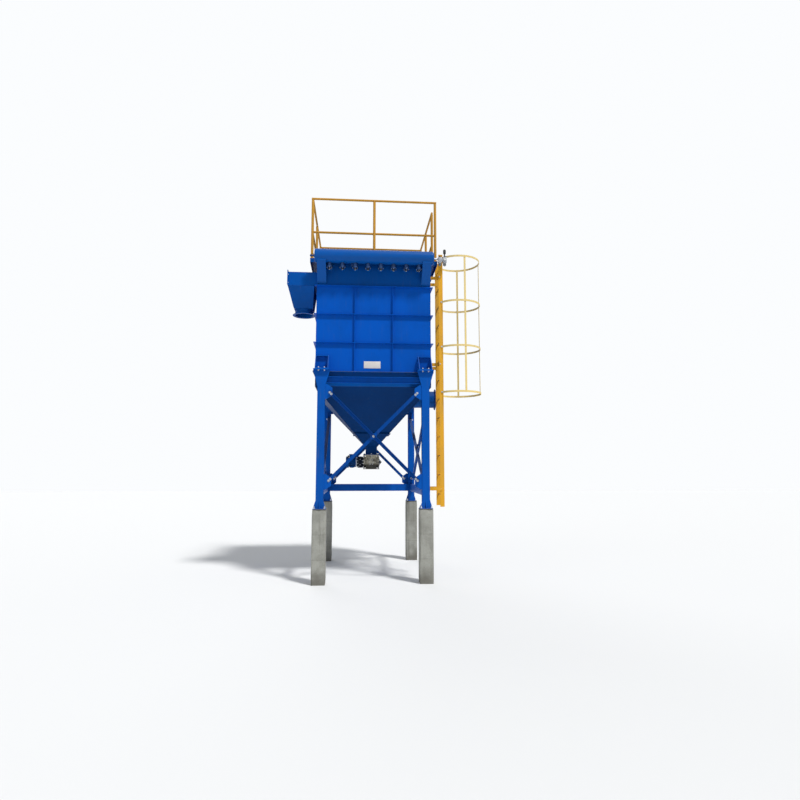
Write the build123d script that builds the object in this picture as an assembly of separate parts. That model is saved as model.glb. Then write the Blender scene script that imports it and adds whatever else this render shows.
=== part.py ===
from build123d import *
import os

# Pulse jet bag filter on four legs, with hopper, rotary valve, caged ladder and roof railing.
# Millimetres. +X is the filter's right, +Y goes from its front to its back, +Z is up.

# Concrete plinths, and how far the legs stand in front of the casing
plinth_side = 210.0
plinth_height = 1080.0
leg_offset_from_casing = 110.0

# Legs: H sections with a base plate, a cap plate and gusset ribs
leg_height = 2115.0
leg_flange_width = 115.0
leg_flange_thickness = 9.0
leg_web_thickness = 6.5
leg_plate_thickness = 16.0
leg_base_plate_side = 190.0
leg_cap_plate_width = 250.0
leg_cap_plate_reach = 105.0
leg_base_rib_height = 120.0
leg_cap_rib_height = 250.0
leg_rib_thickness = 10.0

# Beams between the legs
top_beam_height = 100.0
lower_beam_height = 130.0
channel_width = 50.0
channel_thickness = 7.0
beam_end_plate_thickness = 8.0
top_beam_drop = 210.0
lower_beam_rise = 195.0

# Crossed angle braces and their gusset plates
angle_width = 50.0
angle_thickness = 5.0
gusset_thickness = 8.0
gusset_width = 170.0
gusset_height = 230.0
brace_end_inset = 115.0
brace_low_rise = 410.0
front_brace_drop = 345.0
side_brace_drop = 555.0
packing_side = 90.0

# Casing, tube sheet and clean air plenum
casing_width = 1800.0
casing_depth = 2080.0
sheet_thickness = 6.0
casing_flange_drop = 15.0
rib_pitch = 457.0
rib_row_count = 3
front_bay_count = 3
side_bay_count = 3
rib_depth = 40.0
rib_thickness = 8.0
flange_thickness = 10.0
plenum_height = 430.0

# Roof deck
deck_overhang_x = 115.0
deck_overhang_y = 20.0
deck_thickness = 8.0
deck_edge_height = 60.0
deck_edge_thickness = 6.0
roof_cover_margin = 100.0
roof_cover_end_margin = 190.0
roof_cover_height = 40.0

# Support lugs on the casing corners
lug_width = 205.0
lug_height = 225.0
lug_reach = 215.0
lug_plate_thickness = 12.0
lug_clearance = 5.0

# Hopper
skirt_height = 220.0
hopper_wall = 6.0
hopper_outlet_side = 180.0
hopper_slope_height = 895.0
hopper_band_rise = 207.0
hopper_band_reach = 35.0
neck_height = 135.0
valve_flange_side = 270.0
valve_flange_thickness = 12.0

# Rotary valve and its drive
valve_height = 240.0
valve_bore_side = 160.0
valve_bolt_spacing = 235.0
valve_bolt_hole_radius = 5.5
valve_barrel_radius = 95.0
valve_barrel_length = 230.0
valve_end_plate_radius = 105.0
valve_end_plate_thickness = 14.0
gearbox_length = 120.0
gearbox_height = 190.0
gearbox_width = 140.0
motor_radius = 90.0
motor_length = 180.0
motor_cowl_radius = 96.0
motor_cowl_length = 45.0

# Inlet and outlet for the ducts
duct_bore_radius = 140.0
duct_wall = 4.0
duct_flange_radius = 180.0
duct_flange_thickness = 8.0
duct_bolt_circle_radius = 162.0
duct_bolt_hole_radius = 6.0
duct_bolt_count = 8
inlet_drop = 295.0
inlet_reach = 205.0
hood_reach = 455.0
hood_depth = 600.0
hood_height = 210.0
hood_taper_height = 320.0
hood_flange_reach = 25.0
hood_wall = 4.0
hood_opening_margin = 30.0
hood_mouth_margin = 10.0
outlet_spigot_height = 90.0
outlet_plate_thickness = 6.0
outlet_spigot_offset_x = 220.0

# Compressed air tank, its brackets, valves and blow pipes
tank_radius = 109.5
tank_overhang = 35.0
tank_cap_depth = 30.0
tank_wall = 6.0
tank_gap_to_plenum = 50.0
tank_rise_over_deck = 105.0
tank_bracket_width = 140.0
tank_bracket_web = 8.0
tank_bracket_drop = 400.0
tank_bracket_inset = 5.0
seat_clearance = 0.3
valve_count = 8
valve_end_gap = 55.0
pulse_valve_radius = 34.0
pulse_valve_drop = 55.0
pulse_cover_radius = 46.0
pulse_cover_thickness = 22.0
pulse_coil_radius = 17.0
pulse_coil_height = 32.0
blow_pipe_radius = 24.0
blow_bulkhead_radius = 44.0
blow_bulkhead_thickness = 12.0

# Air service unit at the right end of the tank
service_pipe_radius = 14.0
service_body_width = 136.0
service_body_depth = 56.0
service_body_height = 90.0
service_body_drop = 20.0
service_bowl_radius = 24.0
service_bowl_height = 55.0
service_bowl_spacing = 76.0
service_neck_radius = 11.0
service_neck_height = 60.0
service_knob_radius = 20.0
service_knob_height = 72.0
service_offset_x = 138.0

# Ladder with safety cage
ladder_gap_to_deck = 10.0
ladder_width = 400.0
ladder_front_y = -1105.0
stile_depth = 65.0
stile_thickness = 10.0
ladder_foot_rise = 30.0
ladder_rise_over_deck = 100.0
rung_pitch = 300.0
rung_first_rise = 180.0
rung_radius = 11.0
bracket_height = 50.0
bracket_thickness = 8.0
ladder_bracket_rise = 110.0
ladder_bracket_top_rise = 150.0
cage_reach = 630.0
hoop_height = 30.0
hoop_thickness = 6.0
hoop_first_rise = 1760.0
hoop_pitch = 720.0
hoop_count = 4
hoop_tab_length = 55.0
strap_width = 30.0
strap_thickness = 5.0
strap_angles = (-80.0, 0.0, 80.0)

# Roof railing
rail_height = 1000.0
rail_mid_height = 440.0
post_radius = 21.0
rail_radius = 17.0
post_foot_side = 90.0
post_foot_thickness = 8.0
post_inset = 28.0
railing_gate_clearance = 35.0


def block(x0, x1, y0, y1, z0, z1):
    """A box between two opposite corners."""
    centre = Pos((x0 + x1) / 2, (y0 + y1) / 2, (z0 + z1) / 2)
    return centre * Box(abs(x1 - x0), abs(y1 - y0), abs(z1 - z0))


def rod(start, end, radius):
    """A round bar from one point to another."""
    line = Vector(*end) - Vector(*start)
    return extrude(Plane(Vector(*start), z_dir=line) * Circle(radius), line.length)


def prism_x(points, x0, x1):
    """A polygon of (y, z) points drawn out from x0 to x1."""
    face = Plane.YZ * make_face(Polyline(*points, close=True))
    return Pos(x0, 0, 0) * extrude(face, x1 - x0, dir=(1, 0, 0))


def prism_y(points, y0, y1):
    """A polygon of (x, z) points drawn out from y0 to y1."""
    wire = Wire.make_polygon([Vector(x, y0, z) for x, z in points], close=True)
    return extrude(Face(wire), y1 - y0, dir=(0, 1, 0))


def hexahedron(low, high):
    """A solid with six flat faces, from four low corners and the four high ones above them."""
    faces = [Face(Wire.make_polygon([Vector(*p) for p in ring], close=True)) for ring in (low, high)]
    for i in range(4):
        j = (i + 1) % 4
        side = (low[i], low[j], high[j], high[i])
        faces.append(Face(Wire.make_polygon([Vector(*p) for p in side], close=True)))
    return Solid(Shell(faces))


def turned(shape, quarter_turns):
    """The shape turned about the vertical centre line by quarter turns."""
    return Rot(0, 0, 90 * quarter_turns) * shape


def mirrored_x(shape):
    """The shape mirrored to the other side, left to right."""
    return shape.mirror(Plane.YZ)


def mirrored_y(shape):
    """The shape mirrored front to back."""
    return shape.mirror(Plane.XZ)


# Values that follow from the sizes above
half_width = casing_width / 2
half_depth = casing_depth / 2
leg_x = half_width - lug_width / 2
leg_y = half_depth + leg_offset_from_casing
half_flange = leg_flange_width / 2
seat_z = plinth_height + leg_height
top_beam_z = seat_z - top_beam_drop
lower_beam_z = plinth_height + lower_beam_rise
lower_beam_top_z = lower_beam_z + lower_beam_height
brace_low_z = plinth_height + brace_low_rise
front_brace_high_z = seat_z - front_brace_drop
side_brace_high_z = seat_z - side_brace_drop
casing_base_z = seat_z - casing_flange_drop
casing_foot_z = casing_base_z + flange_thickness
tube_sheet_z = casing_base_z + rib_pitch * rib_row_count
plenum_z = tube_sheet_z + flange_thickness
deck_z = plenum_z + plenum_height
skirt_top_z = casing_base_z
skirt_z = skirt_top_z - flange_thickness - skirt_height
outlet_z = skirt_z - hopper_slope_height
hopper_band_z = outlet_z + hopper_band_rise
inlet_z = casing_base_z - inlet_drop
valve_top_z = outlet_z - neck_height
valve_base_z = valve_top_z - valve_height
half_outlet = hopper_outlet_side / 2
tank_y = -(half_depth + tank_gap_to_plenum + tank_radius)
tank_z = deck_z + tank_rise_over_deck - tank_radius
tank_length = casing_width + 2 * tank_overhang
tank_bracket_spacing = casing_width - tank_bracket_width - 2 * tank_bracket_inset
valve_pitch = (tank_bracket_spacing - tank_bracket_width - 2 * valve_end_gap) / (valve_count - 1)
hood_collar_x = -half_width - rib_depth - lug_clearance
hood_mouth_z = tube_sheet_z - hood_taper_height
hood_mouth_half = duct_bore_radius + hood_mouth_margin
outlet_x = -half_width - outlet_spigot_offset_x
outlet_y = -half_depth + hood_depth / 2
stile_x = half_width + deck_overhang_x + ladder_gap_to_deck
ladder_middle_y = ladder_front_y + ladder_width / 2
ladder_bottom_z = plinth_height + ladder_foot_rise
ladder_top_z = deck_z + ladder_rise_over_deck
ladder_bracket_levels = (casing_base_z + ladder_bracket_rise, tube_sheet_z + ladder_bracket_top_rise)
hoop_first_z = ladder_bottom_z + hoop_first_rise


def at_each_corner(front_left):
    """The shape at the front left and its three mirror images."""
    back_left = mirrored_y(front_left)
    return [front_left, mirrored_x(front_left), back_left, mirrored_x(back_left)]


def front_left_plinth():
    """The concrete plinth under the front left leg."""
    half = plinth_side / 2
    return block(-leg_x - half, -leg_x + half, -leg_y - half, -leg_y + half, 0, plinth_height)


def front_left_leg():
    """H section with its base plate, base ribs, cap plate and flared cap ribs as one weldment."""
    base_top = plinth_height + leg_plate_thickness
    cap_base = seat_z - leg_plate_thickness
    half_base = leg_base_plate_side / 2
    outer_y = -leg_y - half_flange
    inner_y = -leg_y + half_flange
    leg = block(-leg_x - half_base, -leg_x + half_base, -leg_y - half_base, -leg_y + half_base,
                plinth_height, base_top)
    for y0 in (outer_y, inner_y - leg_flange_thickness):
        leg += block(-leg_x - half_flange, -leg_x + half_flange, y0, y0 + leg_flange_thickness,
                     base_top, cap_base)
    half_web = leg_web_thickness / 2
    leg += block(-leg_x - half_web, -leg_x + half_web, outer_y, inner_y, base_top, cap_base)
    half_cap = leg_cap_plate_width / 2
    cap_inner_y = -half_depth - rib_depth - lug_clearance
    leg += block(-leg_x - half_cap, -leg_x + half_cap, -leg_y - leg_cap_plate_reach, cap_inner_y,
                 cap_base, seat_z)
    for way in (-1, 1):
        flange_edge = -leg_x + way * half_flange
        foot_edge = -leg_x + way * half_base
        cap_edge = -leg_x + way * half_cap
        base_rib = [(flange_edge, base_top), (foot_edge, base_top),
                    (flange_edge, base_top + leg_base_rib_height)]
        cap_rib = [(flange_edge, cap_base), (cap_edge, cap_base), (cap_edge, cap_base - leg_rib_thickness),
                   (flange_edge, cap_base - leg_cap_rib_height)]
        for points in (base_rib, cap_rib):
            leg += prism_y(points, outer_y, outer_y + leg_flange_thickness)
    half_rib = leg_rib_thickness / 2
    toe = -leg_y - half_base
    leg += prism_x([(outer_y, base_top), (toe, base_top), (outer_y, base_top + leg_base_rib_height)],
                   -leg_x - half_rib, -leg_x + half_rib)
    return leg


def channel_x(y_back, x0, x1, z0, z1, way):
    """A channel along X whose open side faces -Y (way -1) or +Y (way 1), with an end plate at each end."""
    y_open = y_back + way * channel_width
    beam = block(x0, x1, y_back, y_back + way * channel_thickness, z0, z1)
    for z in (z0, z1 - channel_thickness):
        beam += block(x0, x1, y_back, y_open, z, z + channel_thickness)
    for x, inward in ((x0, 1), (x1, -1)):
        beam += block(x, x + inward * beam_end_plate_thickness, y_back, y_open, z0, z1)
    return beam


def front_cross_beam(z0, height):
    """The channel between the webs of the two front legs with its foot at z0."""
    reach = leg_x - leg_web_thickness / 2
    return channel_x(-leg_y + channel_width / 2, -reach, reach, z0, z0 + height, -1)


def left_lower_beam():
    """The channel between the left legs, front to back."""
    reach = leg_y - half_flange
    along = channel_x(leg_x - channel_width / 2, -reach, reach, lower_beam_z, lower_beam_top_z, 1)
    return turned(along, 1)


def front_gusset(side_x, z_middle):
    """A gusset plate behind the front flange of a front leg, with its outer low or high corner cut."""
    outer = side_x * (leg_x - leg_web_thickness / 2)
    inner = side_x * (leg_x - gusset_width)
    corner = side_x * (leg_x - gusset_width / 2)
    points = [(outer, z_middle - gusset_height / 2), (corner, z_middle - gusset_height / 2),
              (inner, z_middle - gusset_height / 4), (inner, z_middle + gusset_height / 4),
              (corner, z_middle + gusset_height / 2), (outer, z_middle + gusset_height / 2)]
    y0 = -leg_y - half_flange + leg_flange_thickness
    return prism_y(points, y0, y0 + gusset_thickness)


def side_gusset(side_y, z_middle):
    """A gusset plate that stands on the inner flange of a right leg, in the plane of its web."""
    root = side_y * (leg_y - half_flange)
    inner = side_y * (leg_y - half_flange - gusset_width + half_flange)
    corner = side_y * (leg_y - half_flange - gusset_width / 3)
    points = [(root, z_middle - gusset_height / 2), (corner, z_middle - gusset_height / 2),
              (inner, z_middle - gusset_height / 4), (inner, z_middle + gusset_height / 4),
              (corner, z_middle + gusset_height / 2), (root, z_middle + gusset_height / 2)]
    return prism_x(points, leg_x - gusset_thickness / 2, leg_x + gusset_thickness / 2)


def angle_bar(start, end, flat_side):
    """An angle from start to end, (run, z) points in a vertical plane that is drawn here as XZ.

    The flat leg lies against the plane y = 0 on the side flat_side, and the other leg stands out.
    """
    line = Vector(end[0] - start[0], 0, end[1] - start[1])
    across = Vector(line.Z, 0, -line.X).normalized()
    if across.Z < 0:
        across = across * -1
    section = [(0, 0), (angle_width, 0), (angle_width, angle_width),
               (angle_width - angle_thickness, angle_width),
               (angle_width - angle_thickness, angle_thickness), (0, angle_thickness)]
    root = Vector(start[0], 0, start[1]) - across * (angle_width / 2)
    out = Vector(0, flat_side, 0)
    corners = [root + across * a + out * b for a, b in section]
    return extrude(Face(Wire.make_polygon(corners, close=True)), line.length, dir=line)


def crossed_braces(reach, low_z, high_z):
    """Two crossed angles about y = 0, one each side of the gusset plates."""
    half_gap = gusset_thickness / 2
    first = Pos(0, -half_gap, 0) * angle_bar((reach, low_z), (-reach, high_z), -1)
    second = Pos(0, half_gap, 0) * angle_bar((-reach, low_z), (reach, high_z), 1)
    return [first, second]


def packing_plate(low_z, high_z):
    """The plate between two crossed angles where they are bolted together."""
    half = packing_side / 2
    half_gap = gusset_thickness / 2
    middle = (low_z + high_z) / 2
    return block(-half, half, -half_gap, half_gap, middle - half, middle + half)


def casing_panel(width):
    """A casing wall's sheet, with its outer face at y = 0 and its inner one at +Y."""
    return block(-width / 2, width / 2, 0, sheet_thickness, casing_foot_z, tube_sheet_z)


def ribs_on(panel, plate_half, rib_half, bays):
    """Adds the level ribs, rib_half each way, and the upright ribs that part the wall into bays."""
    for row in range(1, rib_row_count):
        z = casing_base_z + rib_pitch * row
        panel += block(-rib_half, rib_half, -rib_depth, 0, z, z + rib_thickness)
    for bay in range(1, bays):
        x = -plate_half + 2 * plate_half * bay / bays
        panel += block(x - rib_thickness / 2, x + rib_thickness / 2, -rib_depth, 0,
                       casing_foot_z, tube_sheet_z)
    return panel


def front_casing_panel():
    """The front wall of the dirty air casing."""
    wall = ribs_on(casing_panel(casing_width), half_width, half_width, front_bay_count)
    return Pos(0, -half_depth, 0) * wall


def right_casing_panel():
    """The right wall, between the front and back ones, with ribs that cover the casing's corners."""
    wall = casing_panel(casing_depth - 2 * sheet_thickness)
    wall = ribs_on(wall, half_depth, half_depth + rib_depth, side_bay_count)
    return turned(Pos(0, -half_width, 0) * wall, 1)


def ring(outer_x, outer_y, inner_x, inner_y, z0, z1):
    """A level rectangular ring given by its half sizes."""
    return block(-outer_x, outer_x, -outer_y, outer_y, z0, z1) - block(
        -inner_x, inner_x, -inner_y, inner_y, z0, z1)


def casing_flange():
    """The flange ring that the casing walls stand on."""
    return ring(half_width + rib_depth, half_depth + rib_depth, half_width - sheet_thickness,
                half_depth - sheet_thickness, casing_base_z, casing_foot_z)


def tube_sheet():
    """The plate between casing and plenum, whose edge stands out as a flange."""
    return block(-half_width - rib_depth, half_width + rib_depth, -half_depth - rib_depth,
                 half_depth + rib_depth, tube_sheet_z, plenum_z)


def plenum():
    """The clean air plenum's four walls as one welded box, open below and above."""
    walls = ring(half_width, half_depth, half_width - sheet_thickness, half_depth - sheet_thickness,
                 plenum_z, deck_z)
    return walls - plenum_outlet()


def roof_deck():
    """The roof plate that people stand on, with a folded edge."""
    outer_x = half_width + deck_overhang_x
    outer_y = half_depth + deck_overhang_y
    deck = block(-outer_x, outer_x, -outer_y, outer_y, deck_z, deck_z + deck_thickness)
    deck += ring(outer_x, outer_y, outer_x - deck_edge_thickness, outer_y - deck_edge_thickness,
                 deck_z - deck_edge_height, deck_z)
    return deck


def left_roof_cover():
    """The plain cover over the left half of the clean air plenum."""
    reach = half_depth - roof_cover_end_margin
    base = deck_z + deck_thickness
    return block(-half_width + roof_cover_margin / 2, -roof_cover_margin, -reach, reach,
                 base, base + roof_cover_height)


def front_left_lug():
    """The box of plates that hangs the casing on a leg's cap plate."""
    x0 = -leg_x - lug_width / 2
    x1 = -leg_x + lug_width / 2
    face = -half_depth
    toe = face - lug_reach
    base_top = seat_z + lug_plate_thickness
    top = base_top + lug_height
    lug = block(x0, x1, toe, face, seat_z, base_top)
    side = [(face, base_top), (toe, base_top), (face - rib_depth, top), (face, top)]
    for x in (x0, x1 - lug_plate_thickness):
        lug += prism_x(side, x, x + lug_plate_thickness)
    lug += block(x0, x1, face - rib_depth, face, top - lug_plate_thickness, top)
    return lug


def hopper_skirt():
    """The hopper's upright band with the flange that bolts to the casing."""
    flange_z = skirt_top_z - flange_thickness
    skirt = ring(half_width, half_depth, half_width - hopper_wall, half_depth - hopper_wall,
                 skirt_z, flange_z)
    skirt += ring(half_width + rib_depth, half_depth + rib_depth, half_width - hopper_wall,
                  half_depth - hopper_wall, flange_z, skirt_top_z)
    return skirt - inlet_hole()


def sloping_wall(top, foot, levels, wall, centre):
    """A flat sloping wall mitred at its ends, from two (x, y) corners at the top and two at the foot."""
    def inward(point):
        return tuple(c - wall * (1 if c > middle else -1) for c, middle in zip(point, centre))

    def outline(pair, z):
        return [(*pair[0], z), (*pair[1], z), (*inward(pair[1]), z), (*inward(pair[0]), z)]
    return hexahedron(outline(foot, levels[0]), outline(top, levels[1]))


def front_hopper_wall():
    """The front slope of the hopper."""
    return sloping_wall([(-half_width, -half_depth), (half_width, -half_depth)],
                        [(-half_outlet, -half_outlet), (half_outlet, -half_outlet)],
                        (outlet_z, skirt_z), hopper_wall, (0, 0))


def left_hopper_wall():
    """The left slope of the hopper, with no hole in it."""
    return sloping_wall([(-half_width, half_depth), (-half_width, -half_depth)],
                        [(-half_outlet, half_outlet), (-half_outlet, -half_outlet)],
                        (outlet_z, skirt_z), hopper_wall, (0, 0))


def hopper_volume():
    """The hopper's whole outer form, skirt included, used to cut what sits against it."""
    slope = hexahedron(
        [(-half_outlet, -half_outlet, outlet_z), (half_outlet, -half_outlet, outlet_z),
         (half_outlet, half_outlet, outlet_z), (-half_outlet, half_outlet, outlet_z)],
        [(-half_width, -half_depth, skirt_z), (half_width, -half_depth, skirt_z),
         (half_width, half_depth, skirt_z), (-half_width, half_depth, skirt_z)])
    return slope + block(-half_width, half_width, -half_depth, half_depth, skirt_z, skirt_top_z)


def hopper_band():
    """The stiffening ring round the lower hopper."""
    share = (hopper_band_z - outlet_z) / hopper_slope_height
    x = half_outlet + (half_width - half_outlet) * share + hopper_band_reach
    y = half_outlet + (half_depth - half_outlet) * share + hopper_band_reach
    return block(-x, x, -y, y, hopper_band_z, hopper_band_z + rib_thickness) - hopper_volume()


def hopper_neck():
    """The square neck under the hopper, with the flange that carries the rotary valve."""
    flange_top = valve_top_z + valve_flange_thickness
    inner = half_outlet - hopper_wall
    half = valve_flange_side / 2
    neck = ring(half_outlet, half_outlet, inner, inner, flange_top, outlet_z)
    return neck + ring(half, half, inner, inner, valve_top_z, flange_top)


def inlet_hole():
    """The round hole that the inlet makes in the hopper's right side."""
    return rod((0, 0, inlet_z), (half_width + inlet_reach, 0, inlet_z), duct_bore_radius)


def duct_flange(length):
    """A duct flange whose outer face is at z = 0 and whose tube runs up from it."""
    holes = [place * Circle(duct_bolt_hole_radius)
             for place in PolarLocations(duct_bolt_circle_radius, duct_bolt_count)]
    flange = extrude(Circle(duct_flange_radius) - holes, duct_flange_thickness)
    flange += extrude(Circle(duct_bore_radius + duct_wall), length)
    return flange - extrude(Circle(duct_bore_radius), length)


def inlet_spigot():
    """The inlet tube on the hopper's right side, cut to the slope, with its duct flange."""
    mouth = Plane((half_width + inlet_reach, 0, inlet_z), x_dir=(0, 1, 0), z_dir=(-1, 0, 0))
    return mouth.location * duct_flange(half_width + inlet_reach) - hopper_volume()


def hood_form(inset):
    """The hood's body and the collar outside the tube sheet's edge, drawn in by inset on the closed sides."""
    x1 = -half_width
    x0 = x1 - hood_reach + inset
    y0 = -half_depth + inset
    y1 = -half_depth + hood_depth - inset
    collar = block(x0, hood_collar_x - inset, y0, y1, tube_sheet_z, plenum_z + hood_wall)
    return collar + block(x0, x1, y0, y1, plenum_z + inset, plenum_z + hood_height - inset)


def outlet_hood():
    """The sheet box on the plenum's left side, open to the plenum and at its foot."""
    x0 = -half_width - hood_reach
    y0 = -half_depth
    y1 = y0 + hood_depth
    hood = hood_form(0)
    hood += block(x0 - flange_thickness, x0, y0 - hood_flange_reach, y1 + hood_flange_reach,
                  plenum_z, plenum_z + hood_height + hood_flange_reach)
    return hood - hood_form(hood_wall)


def hood_lip(first, second):
    """One mitred side of the level lip that closes the taper's foot down to the round bore."""
    low = hood_mouth_z - outlet_plate_thickness
    outline = make_face(Polyline((*first, low), (*second, low), (outlet_x, outlet_y, low), close=True))
    lip = extrude(outline, outlet_plate_thickness, dir=(0, 0, 1))
    return lip - rod((outlet_x, outlet_y, low), (outlet_x, outlet_y, hood_mouth_z), duct_bore_radius)


def hood_taper():
    """The four flat sides under the hood, mitred, with their lips: front and back, then left and right."""
    x0, x1 = -half_width - hood_reach, hood_collar_x
    y0, y1 = -half_depth, -half_depth + hood_depth
    top = [(x0, y0), (x1, y0), (x1, y1), (x0, y1)]
    m = hood_mouth_half
    foot = [(outlet_x - m, outlet_y - m), (outlet_x + m, outlet_y - m),
            (outlet_x + m, outlet_y + m), (outlet_x - m, outlet_y + m)]
    sides = []
    for i in (0, 2, 1, 3):
        j = (i + 1) % 4
        side = sloping_wall([top[i], top[j]], [foot[i], foot[j]], (hood_mouth_z, tube_sheet_z),
                            hood_wall, (outlet_x, outlet_y))
        sides.append(side + hood_lip(foot[i], foot[j]))
    return sides[:2], sides[2:]


def plenum_outlet():
    """The opening that the hood covers in the plenum's left wall."""
    x1 = -half_width
    inset = hood_wall + hood_opening_margin
    return block(x1, x1 + sheet_thickness, -half_depth + inset, -half_depth + hood_depth - inset,
                 plenum_z + hood_wall, plenum_z + hood_height - inset)


def outlet_spigot():
    """The round tube under the lips of the hood's taper, with its duct flange."""
    low = hood_mouth_z - outlet_spigot_height
    return Pos(outlet_x, outlet_y, low) * duct_flange(outlet_spigot_height - outlet_plate_thickness)


def rotary_valve():
    """The valve body: two square flanges, a level barrel and its two end plates."""
    half = valve_flange_side / 2
    body_half = half_outlet
    valve = block(-half, half, -half, half, valve_top_z - valve_flange_thickness, valve_top_z)
    valve += block(-half, half, -half, half, valve_base_z, valve_base_z + valve_flange_thickness)
    valve += block(-body_half, body_half, -body_half, body_half, valve_base_z, valve_top_z)
    middle_z = valve_base_z + valve_height / 2
    reach = valve_barrel_length / 2
    valve += rod((-reach, 0, middle_z), (reach, 0, middle_z), valve_barrel_radius)
    for way in (-1, 1):
        valve += rod((way * reach, 0, middle_z), (way * (reach + valve_end_plate_thickness), 0, middle_z),
                     valve_end_plate_radius)
    recess = valve_bore_side / 2
    depth = (valve_height - 2 * valve_barrel_radius) / 2 + valve_flange_thickness * 2
    valve -= block(-recess, recess, -recess, recess, valve_base_z, valve_base_z + depth)
    for x in (-valve_bolt_spacing / 2, valve_bolt_spacing / 2):
        for y in (-valve_bolt_spacing / 2, valve_bolt_spacing / 2):
            valve -= rod((x, y, valve_base_z), (x, y, valve_base_z + valve_flange_thickness),
                         valve_bolt_hole_radius)
    return valve


def gearbox():
    """The gearbox on the valve's left end plate."""
    x1 = -valve_barrel_length / 2 - valve_end_plate_thickness
    z = valve_base_z + valve_height / 2
    box = block(x1 - gearbox_length, x1, -gearbox_width / 2, gearbox_width / 2,
                z - gearbox_height / 2, z + gearbox_height / 2)
    return chamfer(box.edges().filter_by(Axis.X), gearbox_width / 8)


def drive_motor():
    """The motor that drives the gearbox, with its fan cowl and the terminal box on its top."""
    x1 = -valve_barrel_length / 2 - valve_end_plate_thickness - gearbox_length
    z = valve_base_z + valve_height / 2
    motor = rod((x1 - motor_length, 0, z), (x1, 0, z), motor_radius)
    motor += rod((x1 - motor_length, 0, z), (x1 - motor_length + motor_cowl_length, 0, z), motor_cowl_radius)
    half_box = motor_radius / 2
    motor += block(x1 - motor_length / 2 - half_box / 2, x1 - half_box / 2, -half_box, half_box,
                   z, z + motor_radius + half_box)
    return motor


def header_tank():
    """The compressed air tank's pipe."""
    straight = tank_length / 2 - tank_cap_depth
    ends = ((-straight, tank_y, tank_z), (straight, tank_y, tank_z))
    return rod(*ends, tank_radius) - rod(*ends, tank_radius - tank_wall)


def header_tank_caps():
    """The two domed caps that close the tank's pipe."""
    half = tank_length / 2
    straight = half - tank_cap_depth
    cap = rod((straight, tank_y, tank_z), (half, tank_y, tank_z), tank_radius)
    rim = cap.edges().filter_by(GeomType.CIRCLE).sort_by(Axis.X)[-1]
    cap = fillet(rim, tank_cap_depth * 0.95)
    return [cap, mirrored_x(cap)]


def tank_bracket(x):
    """A bracket on the plenum's front that cradles the tank: two webs and a sloping plate."""
    half = tank_bracket_width / 2
    face = -half_depth
    toe = tank_y - tank_radius * 0.8
    low = tank_z - tank_bracket_drop
    shelf = tank_z - tank_radius * 0.7
    side = [(face, low), (face, shelf), (toe, shelf), (toe, shelf - 2 * tank_bracket_web)]
    bracket = prism_x(side, x - half, x - half + tank_bracket_web)
    bracket += prism_x(side, x + half - tank_bracket_web, x + half)
    slope = [(face, low), (face, low + 2 * tank_bracket_web), (toe, shelf), (toe, shelf - 2 * tank_bracket_web)]
    bracket += prism_x(slope, x - half, x + half)
    keep_out = rod((x - half, tank_y, tank_z), (x + half, tank_y, tank_z), tank_radius + seat_clearance)
    return bracket - keep_out


def valve_places():
    """The X of each pulse valve."""
    first = -valve_pitch * (valve_count - 1) / 2
    return [first + valve_pitch * i for i in range(valve_count)]


def pulse_valve(x):
    """A diaphragm valve under the tank, with its cover and coil."""
    tank = rod((x - valve_pitch / 2, tank_y, tank_z), (x + valve_pitch / 2, tank_y, tank_z), tank_radius)
    low = tank_z - tank_radius - pulse_valve_drop
    valve = rod((x, tank_y, low), (x, tank_y, tank_z), pulse_valve_radius) - tank
    valve += rod((x, tank_y, low - pulse_cover_thickness), (x, tank_y, low), pulse_cover_radius)
    coil_top = low - pulse_cover_thickness
    return valve + rod((x, tank_y, coil_top - pulse_coil_height), (x, tank_y, coil_top), pulse_coil_radius)


def blow_pipe(x):
    """The pipe from a pulse valve into the plenum, with its bulkhead ring."""
    z = tank_z - tank_radius - pulse_valve_drop / 2
    pipe = rod((x, tank_y, z), (x, -half_depth, z), blow_pipe_radius)
    pipe += rod((x, -half_depth - blow_bulkhead_thickness, z), (x, -half_depth, z), blow_bulkhead_radius)
    low = z - pulse_valve_drop / 2
    return pipe - rod((x, tank_y, low), (x, tank_y, tank_z), pulse_valve_radius)


def air_service_unit():
    """The filter and the regulator side by side, with their bowls, knob and pipe, at the tank's right end."""
    start = tank_length / 2
    x = start + service_offset_x
    low = tank_z - service_body_drop - service_body_height / 2
    high = low + service_body_height
    half, reach = service_body_width / 2, service_body_depth / 2
    unit = rod((start, tank_y, tank_z), (x, tank_y, tank_z), service_pipe_radius)
    unit += block(x - half, x + half, tank_y - reach, tank_y + reach, low, high)
    for bowl_x in (x - service_bowl_spacing / 2, x + service_bowl_spacing / 2):
        unit += rod((bowl_x, tank_y, low - service_bowl_height), (bowl_x, tank_y, low), service_bowl_radius)
    knob_x = x + service_bowl_spacing / 2
    neck_top = high + service_neck_height
    unit += rod((knob_x, tank_y, high), (knob_x, tank_y, neck_top), service_neck_radius)
    return unit + rod((knob_x, tank_y, neck_top), (knob_x, tank_y, neck_top + service_knob_height),
                      service_knob_radius)


def ladder_stiles():
    """The two flat stiles of the ladder."""
    front_y = ladder_front_y
    back_y = ladder_front_y + ladder_width + stile_thickness
    return [block(stile_x, stile_x + stile_depth, y - stile_thickness, y, ladder_bottom_z, ladder_top_z)
            for y in (front_y, back_y)]


def ladder_rungs():
    """The round rungs between the stiles."""
    x = stile_x + stile_depth / 2
    count = int((ladder_top_z - ladder_bottom_z - rung_first_rise) // rung_pitch) + 1
    levels = [ladder_bottom_z + rung_first_rise + rung_pitch * i for i in range(count)]
    return [rod((x, ladder_front_y, z), (x, ladder_front_y + ladder_width, z), rung_radius) for z in levels]


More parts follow.
